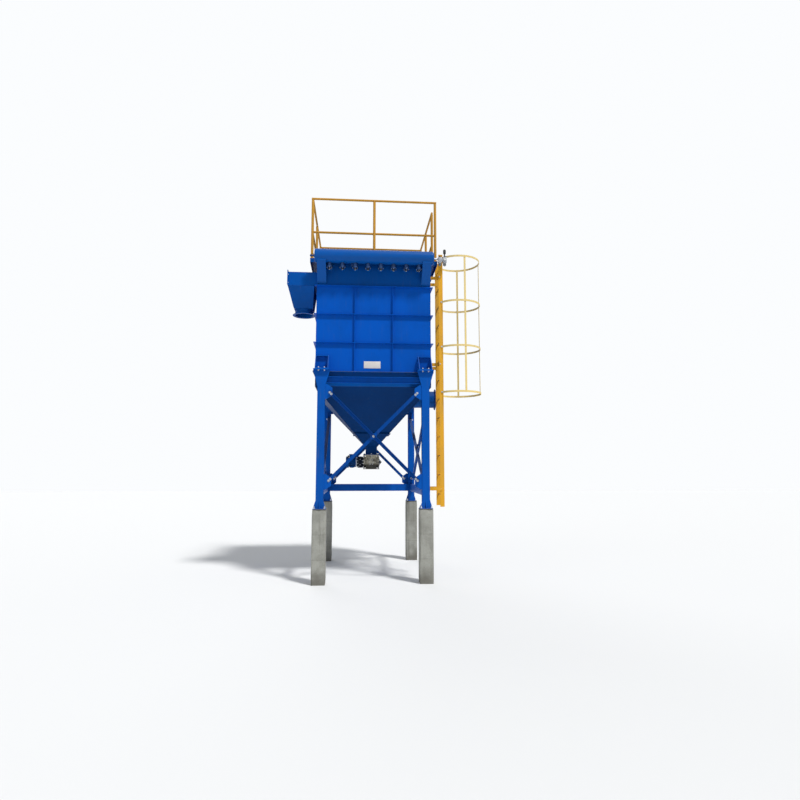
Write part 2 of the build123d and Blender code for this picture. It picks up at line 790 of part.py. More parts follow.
def ladder_brackets():
    """The flats that hold the stiles to the casing, to a leg and to the lower beam."""
    front_y0 = ladder_front_y
    back_y1 = ladder_front_y + ladder_width
    brackets = []
    for z in ladder_bracket_levels:
        for y0 in (front_y0, back_y1 - bracket_thickness):
            y_near = max(y0, -half_depth)
            arm = block(half_width, stile_x + stile_depth / 2, y_near, y_near + bracket_thickness,
                        z, z + bracket_height)
            if y_near > y0:
                arm += block(stile_x, stile_x + stile_depth / 2, y0, y_near + bracket_thickness,
                             z, z + bracket_height)
            brackets.append(arm)
    low_z = lower_beam_top_z - bracket_height
    front_y1 = front_y0 - stile_thickness
    front_arm = block(leg_x + leg_web_thickness / 2, stile_x + stile_depth / 2, front_y1 - bracket_thickness,
                      front_y1, low_z, low_z + bracket_height)
    back_arm = block(leg_x + channel_width / 2, stile_x + stile_depth / 2, back_y1 - bracket_thickness, back_y1,
                     low_z, low_z + bracket_height)
    return brackets + [front_arm, back_arm]


def cage_circle():
    """Centre X and radius of the hoops' middle line, from the reach and the stile faces."""
    side = ladder_width / 2 + stile_thickness
    start_x = stile_x + stile_depth - hoop_tab_length / 3
    reach = stile_x + stile_depth + cage_reach - start_x
    radius = (reach * reach + side * side) / (2 * reach)
    return start_x + reach - radius, radius, start_x


def cage_hoop(z):
    """A flat hoop from one stile round to the other, with a tab on each stile."""
    centre_x, radius, start_x = cage_circle()
    low = z - hoop_height / 2
    at = Pos(centre_x, ladder_middle_y, low)
    half = hoop_thickness / 2
    hoop = at * extrude(Circle(radius + half) - Circle(radius - half), hoop_height)
    hoop -= block(centre_x - 2 * radius, start_x, ladder_middle_y - 2 * radius,
                  ladder_middle_y + 2 * radius, low, low + hoop_height)
    side = ladder_width / 2 + stile_thickness
    for way in (-1, 1):
        hoop += block(start_x - hoop_tab_length / 3, start_x + hoop_tab_length / 3,
                      ladder_middle_y + way * side, ladder_middle_y + way * (side + hoop_thickness),
                      low, low + hoop_height)
    stiles = block(stile_x, stile_x + stile_depth, ladder_middle_y - side, ladder_middle_y + side,
                   low, low + hoop_height)
    return hoop - stiles


def cage_straps():
    """The upright flats inside the hoops."""
    centre_x, radius, _ = cage_circle()
    inner = radius - hoop_thickness / 2
    flat_reach = (inner ** 2 - (strap_width / 2) ** 2) ** 0.5 - seat_clearance
    low = hoop_first_z - hoop_height / 2
    high = hoop_first_z + hoop_pitch * (hoop_count - 1) + hoop_height / 2
    strap = block(flat_reach - strap_thickness, flat_reach, -strap_width / 2, strap_width / 2, low, high)
    return [Pos(centre_x, ladder_middle_y, 0) * (Rot(0, 0, angle) * strap) for angle in strap_angles]


def railing_lines():
    """The X and Y of the post lines, and the Y of the post behind the ladder."""
    x = half_width + deck_overhang_x - post_inset
    y = half_depth + deck_overhang_y - post_inset
    gate_y = ladder_front_y + ladder_width + stile_thickness + railing_gate_clearance + post_radius
    return x, y, gate_y


def railing_posts():
    """The railing posts with their feet on the roof deck."""
    x, y, gate_y = railing_lines()
    base = deck_z + deck_thickness
    top = base + rail_height - rail_radius - seat_clearance
    places = [(-x, -y), (0, -y), (x, -y), (-x, 0), (x, gate_y), (x, (gate_y + y) / 2),
              (-x, y), (0, y), (x, y)]
    half = post_foot_side / 2
    edge_x = half_width + deck_overhang_x
    edge_y = half_depth + deck_overhang_y
    posts = []
    for px, py in places:
        foot = block(max(px - half, -edge_x), min(px + half, edge_x), max(py - half, -edge_y),
                     min(py + half, edge_y), base, base + post_foot_thickness)
        posts.append(foot + rod((px, py, base), (px, py, top), post_radius))
    return posts


def handrails():
    """The top and middle rails: full length at front and back, between them at the sides."""
    x, y, gate_y = railing_lines()
    top = deck_z + deck_thickness + rail_height
    middle = deck_z + deck_thickness + rail_mid_height
    gap = rail_radius + seat_clearance
    rails = []
    for way in (-1, 1):
        rails.append(rod((-x - post_radius, way * y, top), (x + post_radius, way * y, top), rail_radius))
    rails.append(rod((-x, -y + gap, top), (-x, y - gap, top), rail_radius))
    rails.append(rod((x, gate_y - post_radius, top), (x, y - gap, top), rail_radius))
    stop = post_radius + seat_clearance
    for way in (-1, 1):
        for x0, x1 in ((-x, 0), (0, x)):
            rails.append(rod((x0 + stop, way * y, middle), (x1 - stop, way * y, middle), rail_radius))
    bays = [(-x, -y, 0), (-x, 0, y), (x, gate_y, (gate_y + y) / 2), (x, (gate_y + y) / 2, y)]
    for px, y0, y1 in bays:
        rails.append(rod((px, y0 + stop, middle), (px, y1 - stop, middle), rail_radius))
    return rails


def all_parts():
    """Every node's name and its solids, in the leg grid's frame."""
    parts = {}
    parts["plinths"] = at_each_corner(front_left_plinth())
    parts["legs"] = at_each_corner(front_left_leg())
    top_beam = front_cross_beam(top_beam_z, top_beam_height)
    parts["top_beams"] = [top_beam, mirrored_y(top_beam)]
    side_beam = left_lower_beam()
    back_beam = mirrored_y(front_cross_beam(lower_beam_z, lower_beam_height))
    parts["lower_beams"] = [back_beam, side_beam, mirrored_x(side_beam)]

    gussets = []
    for z in (brace_low_z, front_brace_high_z):
        for side in (-1, 1):
            plate = front_gusset(side, z)
            gussets += [plate, mirrored_y(plate)]
    side_low_z = lower_beam_top_z + gusset_height / 2
    for z in (side_low_z, side_brace_high_z):
        for side in (-1, 1):
            plate = side_gusset(side, z)
            gussets += [plate, mirrored_x(plate)]
    front_plane = -leg_y - half_flange + leg_flange_thickness + gusset_thickness / 2
    front_packing = Pos(0, front_plane, 0) * packing_plate(brace_low_z, front_brace_high_z)
    side_packing = turned(Pos(0, -leg_x, 0) * packing_plate(brace_low_z, side_brace_high_z), 1)
    gussets += [front_packing, mirrored_y(front_packing), side_packing, mirrored_x(side_packing)]
    parts["gusset_plates"] = gussets

    front_reach = leg_x - brace_end_inset
    front_braces = [Pos(0, front_plane, 0) * bar
                    for bar in crossed_braces(front_reach, brace_low_z, front_brace_high_z)]
    parts["end_braces"] = front_braces + [mirrored_y(bar) for bar in front_braces]
    side_reach = leg_y - half_flange - gusset_width / 4
    side_braces = [turned(Pos(0, -leg_x, 0) * bar, 1)
                   for bar in crossed_braces(side_reach, brace_low_z, side_brace_high_z)]
    parts["side_braces"] = side_braces + [mirrored_x(bar) for bar in side_braces]

    parts["support_lugs"] = at_each_corner(front_left_lug())
    front_panel = front_casing_panel()
    right_panel = right_casing_panel()
    parts["casing_front_panel"] = front_panel
    parts["casing_back_panel"] = mirrored_y(front_panel)
    parts["casing_right_panel"] = right_panel
    parts["casing_left_panel"] = mirrored_x(right_panel)
    parts["casing_flange"] = casing_flange()
    parts["tube_sheet"] = tube_sheet()
    parts["clean_air_plenum"] = plenum()
    parts["roof_deck"] = roof_deck()
    cover = left_roof_cover()
    parts["roof_covers"] = [cover, mirrored_x(cover)]

    parts["hopper_skirt"] = hopper_skirt()
    front_slope = front_hopper_wall()
    left_slope = left_hopper_wall()
    parts["hopper_front_wall"] = front_slope
    parts["hopper_back_wall"] = mirrored_y(front_slope)
    parts["hopper_left_wall"] = left_slope
    parts["hopper_right_wall"] = mirrored_x(left_slope) - inlet_hole()
    parts["hopper_band"] = hopper_band()
    parts["hopper_neck"] = hopper_neck()
    parts["inlet_spigot"] = inlet_spigot()
    parts["outlet_hood"] = outlet_hood()
    parts["hood_end_tapers"], parts["hood_side_tapers"] = hood_taper()
    parts["outlet_spigot"] = outlet_spigot()
    parts["rotary_valve"] = rotary_valve()
    parts["valve_gearbox"] = gearbox()
    parts["valve_motor"] = drive_motor()

    parts["header_tank"] = header_tank()
    parts["header_tank_caps"] = header_tank_caps()
    half_span = tank_bracket_spacing / 2
    parts["tank_brackets"] = [tank_bracket(-half_span), tank_bracket(half_span)]
    parts["pulse_valves"] = [pulse_valve(x) for x in valve_places()]
    parts["blow_pipes"] = [blow_pipe(x) for x in valve_places()]
    parts["air_service_unit"] = air_service_unit()

    parts["ladder_stiles"] = ladder_stiles()
    parts["ladder_rungs"] = ladder_rungs()
    parts["ladder_brackets"] = ladder_brackets()
    parts["cage_hoops"] = [cage_hoop(hoop_first_z + hoop_pitch * i) for i in range(hoop_count)]
    parts["cage_straps"] = cage_straps()
    parts["railing_posts"] = railing_posts()
    parts["handrails"] = handrails()
    return parts


def single_shape(piece):
    """The solids of a node as one shape."""
    solids = piece if isinstance(piece, list) else [piece]
    return Compound([solid for item in solids for solid in item.solids()])


def main():
    """Builds every node about the middle of the whole model's footprint and writes it."""
    os.makedirs("parts", exist_ok=True)
    shapes = {name: single_shape(piece) for name, piece in all_parts().items()}
    boxes = [shape.bounding_box() for shape in shapes.values()]
    middle_x = (min(b.min.X for b in boxes) + max(b.max.X for b in boxes)) / 2
    middle_y = (min(b.min.Y for b in boxes) + max(b.max.Y for b in boxes)) / 2
    print("leg grid centre in the row frame", round(-middle_x, 3), round(-middle_y, 3))
    for name, shape in shapes.items():
        export_step(Pos(-middle_x, -middle_y, 0) * shape, f"parts/{name}.step")


main()
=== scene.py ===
"""Dresses a pulse jet bag filter.

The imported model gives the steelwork, casing, hopper, ladder and railing. This script paints them, adds the
bolts, weld beads, seals, valve fittings and drive details, and sets the camera, the lamps and the floor.
Sizes are in metres, but for the profiles that mm() reads, and places are measured from the casing's vertical
centre line.
"""

import logging
import math
from dataclasses import dataclass
from enum import Enum
from typing import Any, Iterable, Mapping, Sequence

import bmesh
import bpy
from mathutils import Matrix, Vector, noise


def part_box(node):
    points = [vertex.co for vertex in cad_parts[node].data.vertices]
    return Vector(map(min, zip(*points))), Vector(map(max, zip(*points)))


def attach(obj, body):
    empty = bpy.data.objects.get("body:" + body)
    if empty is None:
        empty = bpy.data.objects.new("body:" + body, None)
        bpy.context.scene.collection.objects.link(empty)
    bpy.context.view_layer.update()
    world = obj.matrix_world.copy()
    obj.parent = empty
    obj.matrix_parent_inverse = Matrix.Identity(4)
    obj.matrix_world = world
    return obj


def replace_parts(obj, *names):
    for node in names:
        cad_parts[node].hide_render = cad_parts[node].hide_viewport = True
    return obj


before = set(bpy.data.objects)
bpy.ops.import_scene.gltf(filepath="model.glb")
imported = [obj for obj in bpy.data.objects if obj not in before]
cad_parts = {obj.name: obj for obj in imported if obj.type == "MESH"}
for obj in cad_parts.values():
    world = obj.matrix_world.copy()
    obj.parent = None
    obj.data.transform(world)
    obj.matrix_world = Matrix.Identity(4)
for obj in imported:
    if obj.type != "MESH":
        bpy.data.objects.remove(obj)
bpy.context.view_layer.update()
log = logging.getLogger("bag filter")

Colour = tuple[float, float, float, float]
Point = Sequence[float]
Profile = Sequence[tuple[float, float]]


def rgb(*screen: int) -> Colour:
    """Turns red, green and blue from 0 to 255, as a screen shows them, into the shader's own scale."""
    parts = [c / 255 for c in screen]
    return (*(c / 12.92 if c <= 0.04045 else ((c + 0.055) / 1.055) ** 2.4 for c in parts), 1.0)


class Term:
    """An output socket that can stand in a sum with numbers and other sockets."""

    def __init__(self, graph: "Graph", socket: bpy.types.NodeSocket) -> None:
        """Keeps the socket and the graph that it is in."""
        self.graph = graph
        self.socket = socket

    def _math(self, operation: str, first: Any, second: Any) -> "Term":
        """Adds one Math node and returns its output."""
        return self.graph.node("ShaderNodeMath", {0: first, 1: second}, operation=operation)

    def __add__(self, other: Any) -> "Term":
        """Sum."""
        return self._math("ADD", self, other)

    __radd__ = __add__

    def __sub__(self, other: Any) -> "Term":
        """Difference."""
        return self._math("SUBTRACT", self, other)

    def __rsub__(self, other: Any) -> "Term":
        """Difference with a number in front."""
        return self._math("SUBTRACT", other, self)

    def __mul__(self, other: Any) -> "Term":
        """Product."""
        return self._math("MULTIPLY", self, other)

    def largest(self, other: Any) -> "Term":
        """The larger of this and another value."""
        return self._math("MAXIMUM", self, other)

    def step(self, low: float, high: float) -> "Term":
        """Rises smoothly from 0 at low to 1 at high, or falls where low is above high."""
        ends = {"From Min": min(low, high), "From Max": max(low, high),
                "To Min": float(low > high), "To Max": float(high >= low)}
        return self.graph.node("ShaderNodeMapRange", {"Value": self, **ends}, interpolation_type="SMOOTHSTEP")


class Graph:
    """Adds nodes to a shader or geometry tree."""

    def __init__(self, tree: bpy.types.NodeTree) -> None:
        """Keeps the tree that nodes are added to."""
        self.tree = tree

    @staticmethod
    def _find(sockets: Any, key: int | str) -> bpy.types.NodeSocket:
        """The socket with that identifier, place or name."""
        named = {socket.identifier: socket for socket in sockets}
        return named[key] if key in named else sockets[key]

    def node(self, kind: str, inputs: Mapping[int | str, Any] | None = None, output: int | str = 0,
             **settings: Any) -> Term:
        """Adds a node.

        Args:
            kind: the node's type.
            inputs: a value or a Term for each named socket.
            output: the output that is returned.
            settings: its own settings, set before its sockets.

        Returns:
            The chosen output, or the first input of a node that has no output.
        """
        node = self.tree.nodes.new(kind)
        for key, value in settings.items():
            setattr(node, key, value)
        for key, value in (inputs or {}).items():
            socket = self._find(node.inputs, key)
            if isinstance(value, Term):
                self.tree.links.new(value.socket, socket)
            else:
                socket.default_value = value
        return Term(self, self._find(node.outputs, output) if node.outputs else node.inputs[0])


class Surface(Graph):
    """A material's nodes, which end in one Principled shader."""

    def __init__(self, name: str) -> None:
        """Starts an empty material with its Object coordinates."""
        self.material = bpy.data.materials.new(name)
        self.material.use_nodes = True
        self.material.node_tree.nodes.clear()
        super().__init__(self.material.node_tree)
        self.place = self.node("ShaderNodeTexCoord", output="Object")

    def stretched(self, *scales: float) -> Term:
        """The place with each axis multiplied by its own scale."""
        return self.node("ShaderNodeVectorMath", {0: self.place, 1: scales}, operation="MULTIPLY")

    def noise(self, scale: float, detail: float = 4.0, rough: float = 0.55, where: Term | None = None) -> Term:
        """Cloudy noise between about 0.3 and 0.7."""
        return self.node("ShaderNodeTexNoise", {"Vector": where or self.place, "Scale": scale,
                                                "Detail": detail, "Roughness": rough}, "Fac")

    def cells(self, scale: float) -> Term:
        """Distance to the nearest of many scattered points."""
        return self.node("ShaderNodeTexVoronoi", {"Vector": self.place, "Scale": scale}, "Distance")

    def height_of(self, source: Term) -> Term:
        """The Z of a vector."""
        return self.node("ShaderNodeSeparateXYZ", {0: source}, "Z")

    def mixed(self, factor: Any, first: Any, second: Any) -> Term:
        """A colour between two, by a factor."""
        return self.node("ShaderNodeMix", {"Factor_Float": factor, "A_Color": first, "B_Color": second},
                         "Result_Color", data_type="RGBA")

    def relief(self, height: Term, depth: float, strength: float) -> Term:
        """A normal bumped by a height, depth metres for each unit."""
        inputs = {"Height": height, "Distance": depth, "Strength": strength}
        return self.node("ShaderNodeBump", inputs, "Normal")

    def done(self, **sockets: Any) -> bpy.types.Material:
        """Closes the material.

        Args:
            sockets: Principled inputs, with an underscore for each space.

        Returns:
            The finished material.
        """
        inputs = {key.replace("_", " "): value for key, value in sockets.items()}
        shader = self.node("ShaderNodeBsdfPrincipled", inputs)
        self.node("ShaderNodeOutputMaterial", {"Surface": shader})
        return self.material


class Gloss(Enum):
    """How rough a finish is."""

    FRESH = 0.30
    SATIN = 0.40
    DULL = 0.55
    MATT = 0.75
    RAW = 0.90


@dataclass(frozen=True)
class SteelPaint:
    """Brushed or sprayed enamel on steel, with dust, streaks and a few chips.

    Attributes:
        name: the material's name.
        colour: the clean paint.
        faded: the paint where sun and dust have dulled it.
        gloss: how rough the paint is.
        dust: how much dust lies on faces that look up.
        streaks: how strong the runs of dirt are.
        chips: how much of the primer and rust shows in small spots.
        shine: how strongly the paint mirrors what is around it.
    """

    name: str
    colour: Colour
    faded: Colour
    gloss: Gloss
    dust: float
    streaks: float
    chips: float
    shine: float = 0.08
    rust: Colour = rgb(104, 58, 32)
    dirt: Colour = rgb(92, 96, 98)

    def material(self) -> bpy.types.Material:
        """Builds the paint's material."""
        surface = Surface(self.name)
        cloud = surface.noise(1.3, 5.0, 0.62)
        patch = surface.noise(7.0, 4.0, 0.6)
        runs = surface.noise(1.0, 5.0, 0.65, surface.stretched(26.0, 26.0, 1.4))
        grain = surface.noise(260.0, 2.0, 0.5)
        normal = surface.node("ShaderNodeNewGeometry", output="Normal")
        upward = surface.height_of(normal).step(0.35, 0.95)

        colour = surface.mixed(cloud.step(0.40, 0.68) * 0.55, self.colour, self.faded)
        colour = surface.mixed(patch.step(0.55, 0.75) * 0.18, colour, self.faded)
        run_mask = runs.step(0.52, 0.78) * patch.step(0.35, 0.7) * self.streaks
        colour = surface.mixed(run_mask, colour, self.dirt)
        dust_mask = upward * (0.35 + patch * 0.6) * self.dust
        colour = surface.mixed(dust_mask, colour, self.dirt)
        chip = surface.cells(34.0).step(0.10, 0.05) * surface.noise(2.2, 3.0).step(0.56, 0.62) * self.chips
        colour = surface.mixed(chip, colour, self.rust)

        rough = self.gloss.value + run_mask * 0.35 + dust_mask * 0.4 + (grain - 0.5) * 0.08 + chip * 0.3
        height = grain * 0.5 + surface.noise(38.0, 3.0) * 1.4 - chip * 1.2
        return surface.done(Base_Color=colour, Roughness=rough, Normal=surface.relief(height, 0.0005, 0.5),
                            Specular_IOR_Level=self.shine)


@dataclass(frozen=True)
class CastConcrete:
    """Cast concrete with form board lines, pores, damp at its foot and runs of rust and dirt."""

    name: str
    colour: Colour = rgb(142, 142, 134)
    dark: Colour = rgb(100, 98, 90)
    pale: Colour = rgb(164, 164, 156)
    stain: Colour = rgb(74, 68, 58)
    board: float = 0.18

    def material(self) -> bpy.types.Material:
        """Builds the concrete's material."""
        surface = Surface(self.name)
        cloud = surface.noise(3.2, 6.0, 0.65)
        grit = surface.noise(85.0, 5.0, 0.7)
        runs = surface.noise(1.0, 6.0, 0.7, surface.stretched(18.0, 18.0, 1.1))
        pores = surface.cells(58.0).step(0.17, 0.07) * surface.noise(9.0, 3.0).step(0.46, 0.6)
        level = surface.height_of(surface.place)
        foot = (level + (cloud - 0.5) * 0.35).step(0.30, 0.02)
        boards = surface.node("ShaderNodeMath", {0: level, 1: self.board}, operation="PINGPONG")
        seam = boards.step(0.004, 0.0015)

        colour = surface.mixed(cloud.step(0.38, 0.66), self.colour, self.pale)
        colour = surface.mixed(grit.step(0.48, 0.8) * 0.45, colour, self.dark)
        colour = surface.mixed(runs.step(0.50, 0.76) * 0.6, colour, self.dark)
        colour = surface.mixed(runs.step(0.64, 0.80) * cloud.step(0.42, 0.6) * 0.8, colour, self.stain)
        colour = surface.mixed(foot * 0.55, colour, self.stain)
        colour = surface.mixed(pores * 0.75 + seam * 0.35, colour, self.stain)
        height = grit * 0.5 + cloud * 1.5 - pores * 1.6 - seam * 0.8
        return surface.done(Base_Color=colour, Roughness=0.92 - foot * 0.12,
                            Normal=surface.relief(height, 0.0022, 0.8))


@dataclass(frozen=True)
class BareMetal:
    """Unpainted metal: zinc plated bolts, cast iron or die cast aluminium.

    Attributes:
        name: the material's name.
        colour: the clean metal.
        soiled: the colour of its tarnish, rust or grime.
        metallic: how much of the surface still shines as metal.
        gloss: how rough it is.
        soil: how much tarnish there is.
        grain: how coarse the casting's skin is, in metres.
        grease_level: the height below which the metal is black with grease.
    """

    name: str
    colour: Colour
    soiled: Colour
    metallic: float
    gloss: Gloss
    soil: float
    grain: float = 0.0003
    grease_level: float = -10.0
    grease: Colour = rgb(30, 31, 34)

    def material(self) -> bpy.types.Material:
        """Builds the metal's material."""
        surface = Surface(self.name)
        patch = surface.noise(16.0, 5.0, 0.65)
        grit = surface.noise(230.0, 3.0, 0.6)
        mask = (patch + (grit - 0.5) * 0.4).step(0.46, 0.66) * self.soil
        colour = surface.mixed(mask, self.colour, self.soiled)
        colour = surface.mixed(grit.step(0.5, 0.8) * 0.2, colour, self.soiled)
        height = surface.height_of(surface.place) + (patch - 0.5) * 0.12
        grease = height.step(self.grease_level + 0.02, self.grease_level - 0.02)
        colour = surface.mixed(grease * 0.85, colour, self.grease)
        return surface.done(Base_Color=colour, Metallic=self.metallic - mask * self.metallic * 0.8,
                            Roughness=self.gloss.value + mask * 0.35 + (grit - 0.5) * 0.12,
                            Normal=surface.relief(grit + patch * 0.8, self.grain, 0.7))


@dataclass(frozen=True)
class Moulded:
    """Moulded plastic or rubber with a fine skin and a little dust."""

    name: str
    colour: Colour
    gloss: Gloss = Gloss.DULL
    dust: float = 0.35
    clearness: float = 0.0
    dusty: Colour = rgb(128, 128, 122)

    def material(self) -> bpy.types.Material:
        """Builds the plastic's material."""
        surface = Surface(self.name)
        mask = surface.noise(22.0, 4.0, 0.6).step(0.45, 0.7) * self.dust
        return surface.done(Base_Color=surface.mixed(mask, self.colour, self.dusty),
                            Roughness=self.gloss.value + mask * 0.25, Transmission_Weight=self.clearness,
                            Normal=surface.relief(surface.noise(700.0, 2.0), 0.0001, 0.5))


@dataclass(frozen=True)
class Plain:
    """One even colour."""

    name: str
    colour: Colour

    def material(self) -> bpy.types.Material:
        """Builds the plain material."""
        return Surface(self.name).done(Base_Color=self.colour, Roughness=Gloss.RAW.value)


GREASE_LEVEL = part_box("rotary_valve")[0].z + 0.085
FINISHES = (
    SteelPaint("casing_blue", rgb(0, 84, 186), rgb(2, 74, 160), Gloss.SATIN, 0.45, 0.16, 0.25),
    # Painted shade: the plenum's paint is darker than the casing's to stand in for the header tank's shadow on
    # it; the roof and its covers share this paint.
    SteelPaint("plenum_blue_painted_shade", rgb(0, 76, 156), rgb(4, 68, 136), Gloss.SATIN, 0.45, 0.20, 0.25),
    SteelPaint("frame_blue", rgb(4, 84, 176), rgb(10, 74, 150), Gloss.SATIN, 0.6, 0.30, 0.8),
    # Painted shade: the braces' paint is darker than the legs' to stand in for the shade that they lie in.
    SteelPaint("brace_blue_painted_shade", rgb(2, 68, 148), rgb(8, 58, 122), Gloss.SATIN, 0.6, 0.30, 0.8),
    # Painted shade: the hopper's paint is darker than the casing's to stand in for the shade under the casing.
    SteelPaint("hopper_blue_painted_shade", rgb(0, 55, 114), rgb(2, 47, 98), Gloss.DULL, 0.5, 0.20, 0.4),
    SteelPaint("skirt_blue", rgb(6, 80, 156), rgb(12, 70, 134), Gloss.SATIN, 0.5, 0.20, 0.3),
    SteelPaint("hood_blue", rgb(0, 80, 164), rgb(4, 68, 138), Gloss.SATIN, 0.6, 0.25, 0.4),
    SteelPaint("header_blue", rgb(6, 84, 166), rgb(16, 80, 150), Gloss.FRESH, 0.6, 0.22, 0.3, 0.12),
    SteelPaint("motor_blue", rgb(4, 74, 144), rgb(10, 62, 112), Gloss.DULL, 0.8, 0.4, 0.6),
    SteelPaint("gearbox_paint", rgb(22, 30, 44), rgb(38, 44, 54), Gloss.DULL, 0.8, 0.4, 0.6),
    SteelPaint("ladder_yellow", rgb(228, 168, 50), rgb(198, 152, 68), Gloss.DULL, 0.35, 0.40, 1.0),
    SteelPaint("cage_yellow", rgb(234, 208, 136), rgb(214, 196, 146), Gloss.DULL, 0.35, 0.35, 1.0),
    SteelPaint("rail_yellow", rgb(202, 148, 54), rgb(176, 136, 70), Gloss.DULL, 0.35, 0.40, 1.0),
    SteelPaint("label_enamel", rgb(222, 218, 214), rgb(200, 192, 188), Gloss.FRESH, 0.2, 0.25, 0.2, 0.3),
    CastConcrete("concrete"),
    BareMetal("zinc_plate", rgb(196, 202, 210), rgb(120, 124, 128), 0.85, Gloss.SATIN, 0.45),
    BareMetal("valve_casting", rgb(184, 180, 162), rgb(74, 68, 60), 0.30, Gloss.DULL, 0.75, 0.0008,
              GREASE_LEVEL),
    BareMetal("die_cast", rgb(22, 62, 112), rgb(12, 38, 74), 0.4, Gloss.SATIN, 0.7),
    BareMetal("light_fitting", rgb(164, 168, 174), rgb(98, 102, 110), 0.45, Gloss.SATIN, 0.6),
    BareMetal("dark_fitting", rgb(74, 80, 88), rgb(40, 44, 50), 0.5, Gloss.DULL, 0.6),
    Moulded("black_plastic", rgb(26, 27, 30)),
    Moulded("clear_bowl", rgb(150, 156, 158), Gloss.FRESH, 0.3, 0.4),
    Moulded("seal_grey", rgb(74, 78, 82), Gloss.MATT, 0.4),
    Moulded("dial_white", rgb(228, 228, 222), Gloss.FRESH, 0.15),
    Moulded("grout", rgb(92, 90, 84), Gloss.RAW, 0.6),
    Plain("pale_floor", rgb(230, 230, 229)),
)
palette = {finish.name: finish.material() for finish in FINISHES}

UP = Vector((0.0, 0.0, 1.0))
DOWN = Vector((0.0, 0.0, -1.0))
RIGHT = Vector((1.0, 0.0, 0.0))
LEFT = Vector((-1.0, 0.0, 0.0))
BACK = Vector((0.0, 1.0, 0.0))
FRONT = Vector((0.0, -1.0, 0.0))
NOWHERE = Vector((0.0, 0.0, 0.0))

BOTH = (-1, 1)
CORNERS = tuple((x_way, y_way) for y_way in BOTH for x_way in BOTH)
BEAD_LIFT = 0.002


class Axis(Enum):
    """The axis that a circle lies about."""

    X = 0
    Y = 1
    Z = 2


@dataclass(frozen=True)
class Span:
    """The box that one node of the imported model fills."""

    low: Vector
    high: Vector

    @classmethod
    def of(cls, node: str) -> "Span":
        """The box of a named node."""
        return cls(*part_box(node))

    @property
    def half(self) -> Vector:
        """Half of the box's size."""
        return (self.high - self.low) / 2

    @property
    def middle(self) -> Vector:
        """The box's centre."""
        return (self.low + self.high) / 2

    @property
    def core(self) -> tuple[float, float, float]:
        """The box's centre, measured as at() does."""
        return (self.middle.x - CENTRE.x, self.middle.y - CENTRE.y, self.middle.z)

    @property
    def sides(self) -> tuple[float, float, float, float]:
        """The left, right, front and back of the box, measured as at() does."""
        return (self.low.x - CENTRE.x, self.high.x - CENTRE.x, self.low.y - CENTRE.y, self.high.y - CENTRE.y)


@dataclass(frozen=True)
class Spot:
    """One place in a pattern, with the way that it faces and the way that its length runs."""

    place: Vector
    aim: Vector = UP
    along: Vector = NOWHERE


CENTRE = Span.of("tube_sheet").middle
DRIVE_Z = Span.of("rotary_valve").middle.z


def at(x: float, y: float, z: float) -> Vector:
    """The point that lies x to the right of the casing's centre line, y behind it and z above the ground."""
    return Vector((CENTRE.x + x, CENTRE.y + y, z))


def level(x: float, y: float) -> Vector:
    """A level direction."""
    return Vector((x, y, 0.0))


def mm(*profile: tuple[float, float]) -> list[tuple[float, float]]:
    """Turns a profile's distances and radii from millimetres into metres."""
    return [(distance / 1000, radius / 1000) for distance, radius in profile]


def spaced(start: float, end: float, pitch: float) -> list[float]:
    """Places from start to end, both included, as near to the pitch as even steps allow."""
    steps = max(1, round(abs(end - start) / pitch))
    return [start + (end - start) * i / steps for i in range(steps + 1)]


def stroke(*ends: float | tuple[float, float]) -> list[Vector]:
    """A straight line from x, y and z, each of which is a number or, where the line runs along it, a pair."""
    pairs = [end if isinstance(end, tuple) else (end, end) for end in ends]
    return [at(*(pair[i] for pair in pairs)) for i in (0, 1)]


def rectangle(x0: float, x1: float, y0: float, y1: float, z: float) -> list[Vector]:
    """A closed level line round a rectangle."""
    return [at(x, y, z) for x, y in ((x0, y0), (x1, y0), (x1, y1), (x0, y1), (x0, y0))]


def ring(centre: Point, radius: float, count: int, axis: Axis, aim: Vector | None = None,
         along: Vector = NOWHERE, phase: float = 0.0, closed: bool = False) -> list[Spot]:
    """Spots round a circle.

    Args:
        centre: its centre, measured as at() does.
        radius: its radius.
        count: how many steps it has.
        axis: the axis that it lies about.
        aim: the way that every spot faces; without it each faces outwards.
        along: the way that the spots' length runs.
        phase: how many steps the first spot is turned by.
        closed: whether the first place comes again at the end.

    Returns:
        The spots, in order.
    """
    spots = []
    for i in range(count + closed):
        turn = 2 * math.pi * (i + phase) / count
        way = [math.cos(turn), math.sin(turn)]
        way.insert(axis.value, 0.0)
        place = at(*(middle + radius * part for middle, part in zip(centre, way)))
        spots.append(Spot(place, Vector(way) if aim is None else aim, along))
    return spots


def hoop(centre: Point, radius: float, count: int, axis: Axis) -> list[Vector]:
    """A closed line round a circle, as ring() places it."""
    return [spot.place for spot in ring(centre, radius, count, axis, closed=True)]


def mirrored(spots: Iterable[Spot], sides: Iterable[tuple[int, int]]) -> list[Spot]:
    """Repeats spots to the left and right and to the front and back.

    Args:
        spots: spots on the right at the back, placed by at().
        sides: pairs of 1 or -1, for left to right and for front to back.

    Returns:
        The spots of every pair.
    """
    made = []
    for x_way, y_way in sides:
        way = Vector((x_way, y_way, 1.0))
        for spot in spots:
            offset = (spot.place - at(0.0, 0.0, 0.0)) * way
            made.append(Spot(at(*offset), spot.aim * way, spot.along * way))
    return made


def linked(name: str, data: Any) -> bpy.types.Object:
    """A new object in the scene."""
    made = bpy.data.objects.new(name, data)
    bpy.context.scene.collection.objects.link(made)
    return made


def shade(bm: bmesh.types.BMesh, degrees: float) -> None:
    """Shades a mesh smooth but for the edges that turn by more than some degrees.

    Args:
        bm: the mesh.
        degrees: the turn from which an edge stays sharp.
    """
    for edge in bm.edges:
        if len(edge.link_faces) == 2:
            edge.smooth = edge.calc_face_angle(0.0) < math.radians(degrees)
    for face in bm.faces:
        face.smooth = True


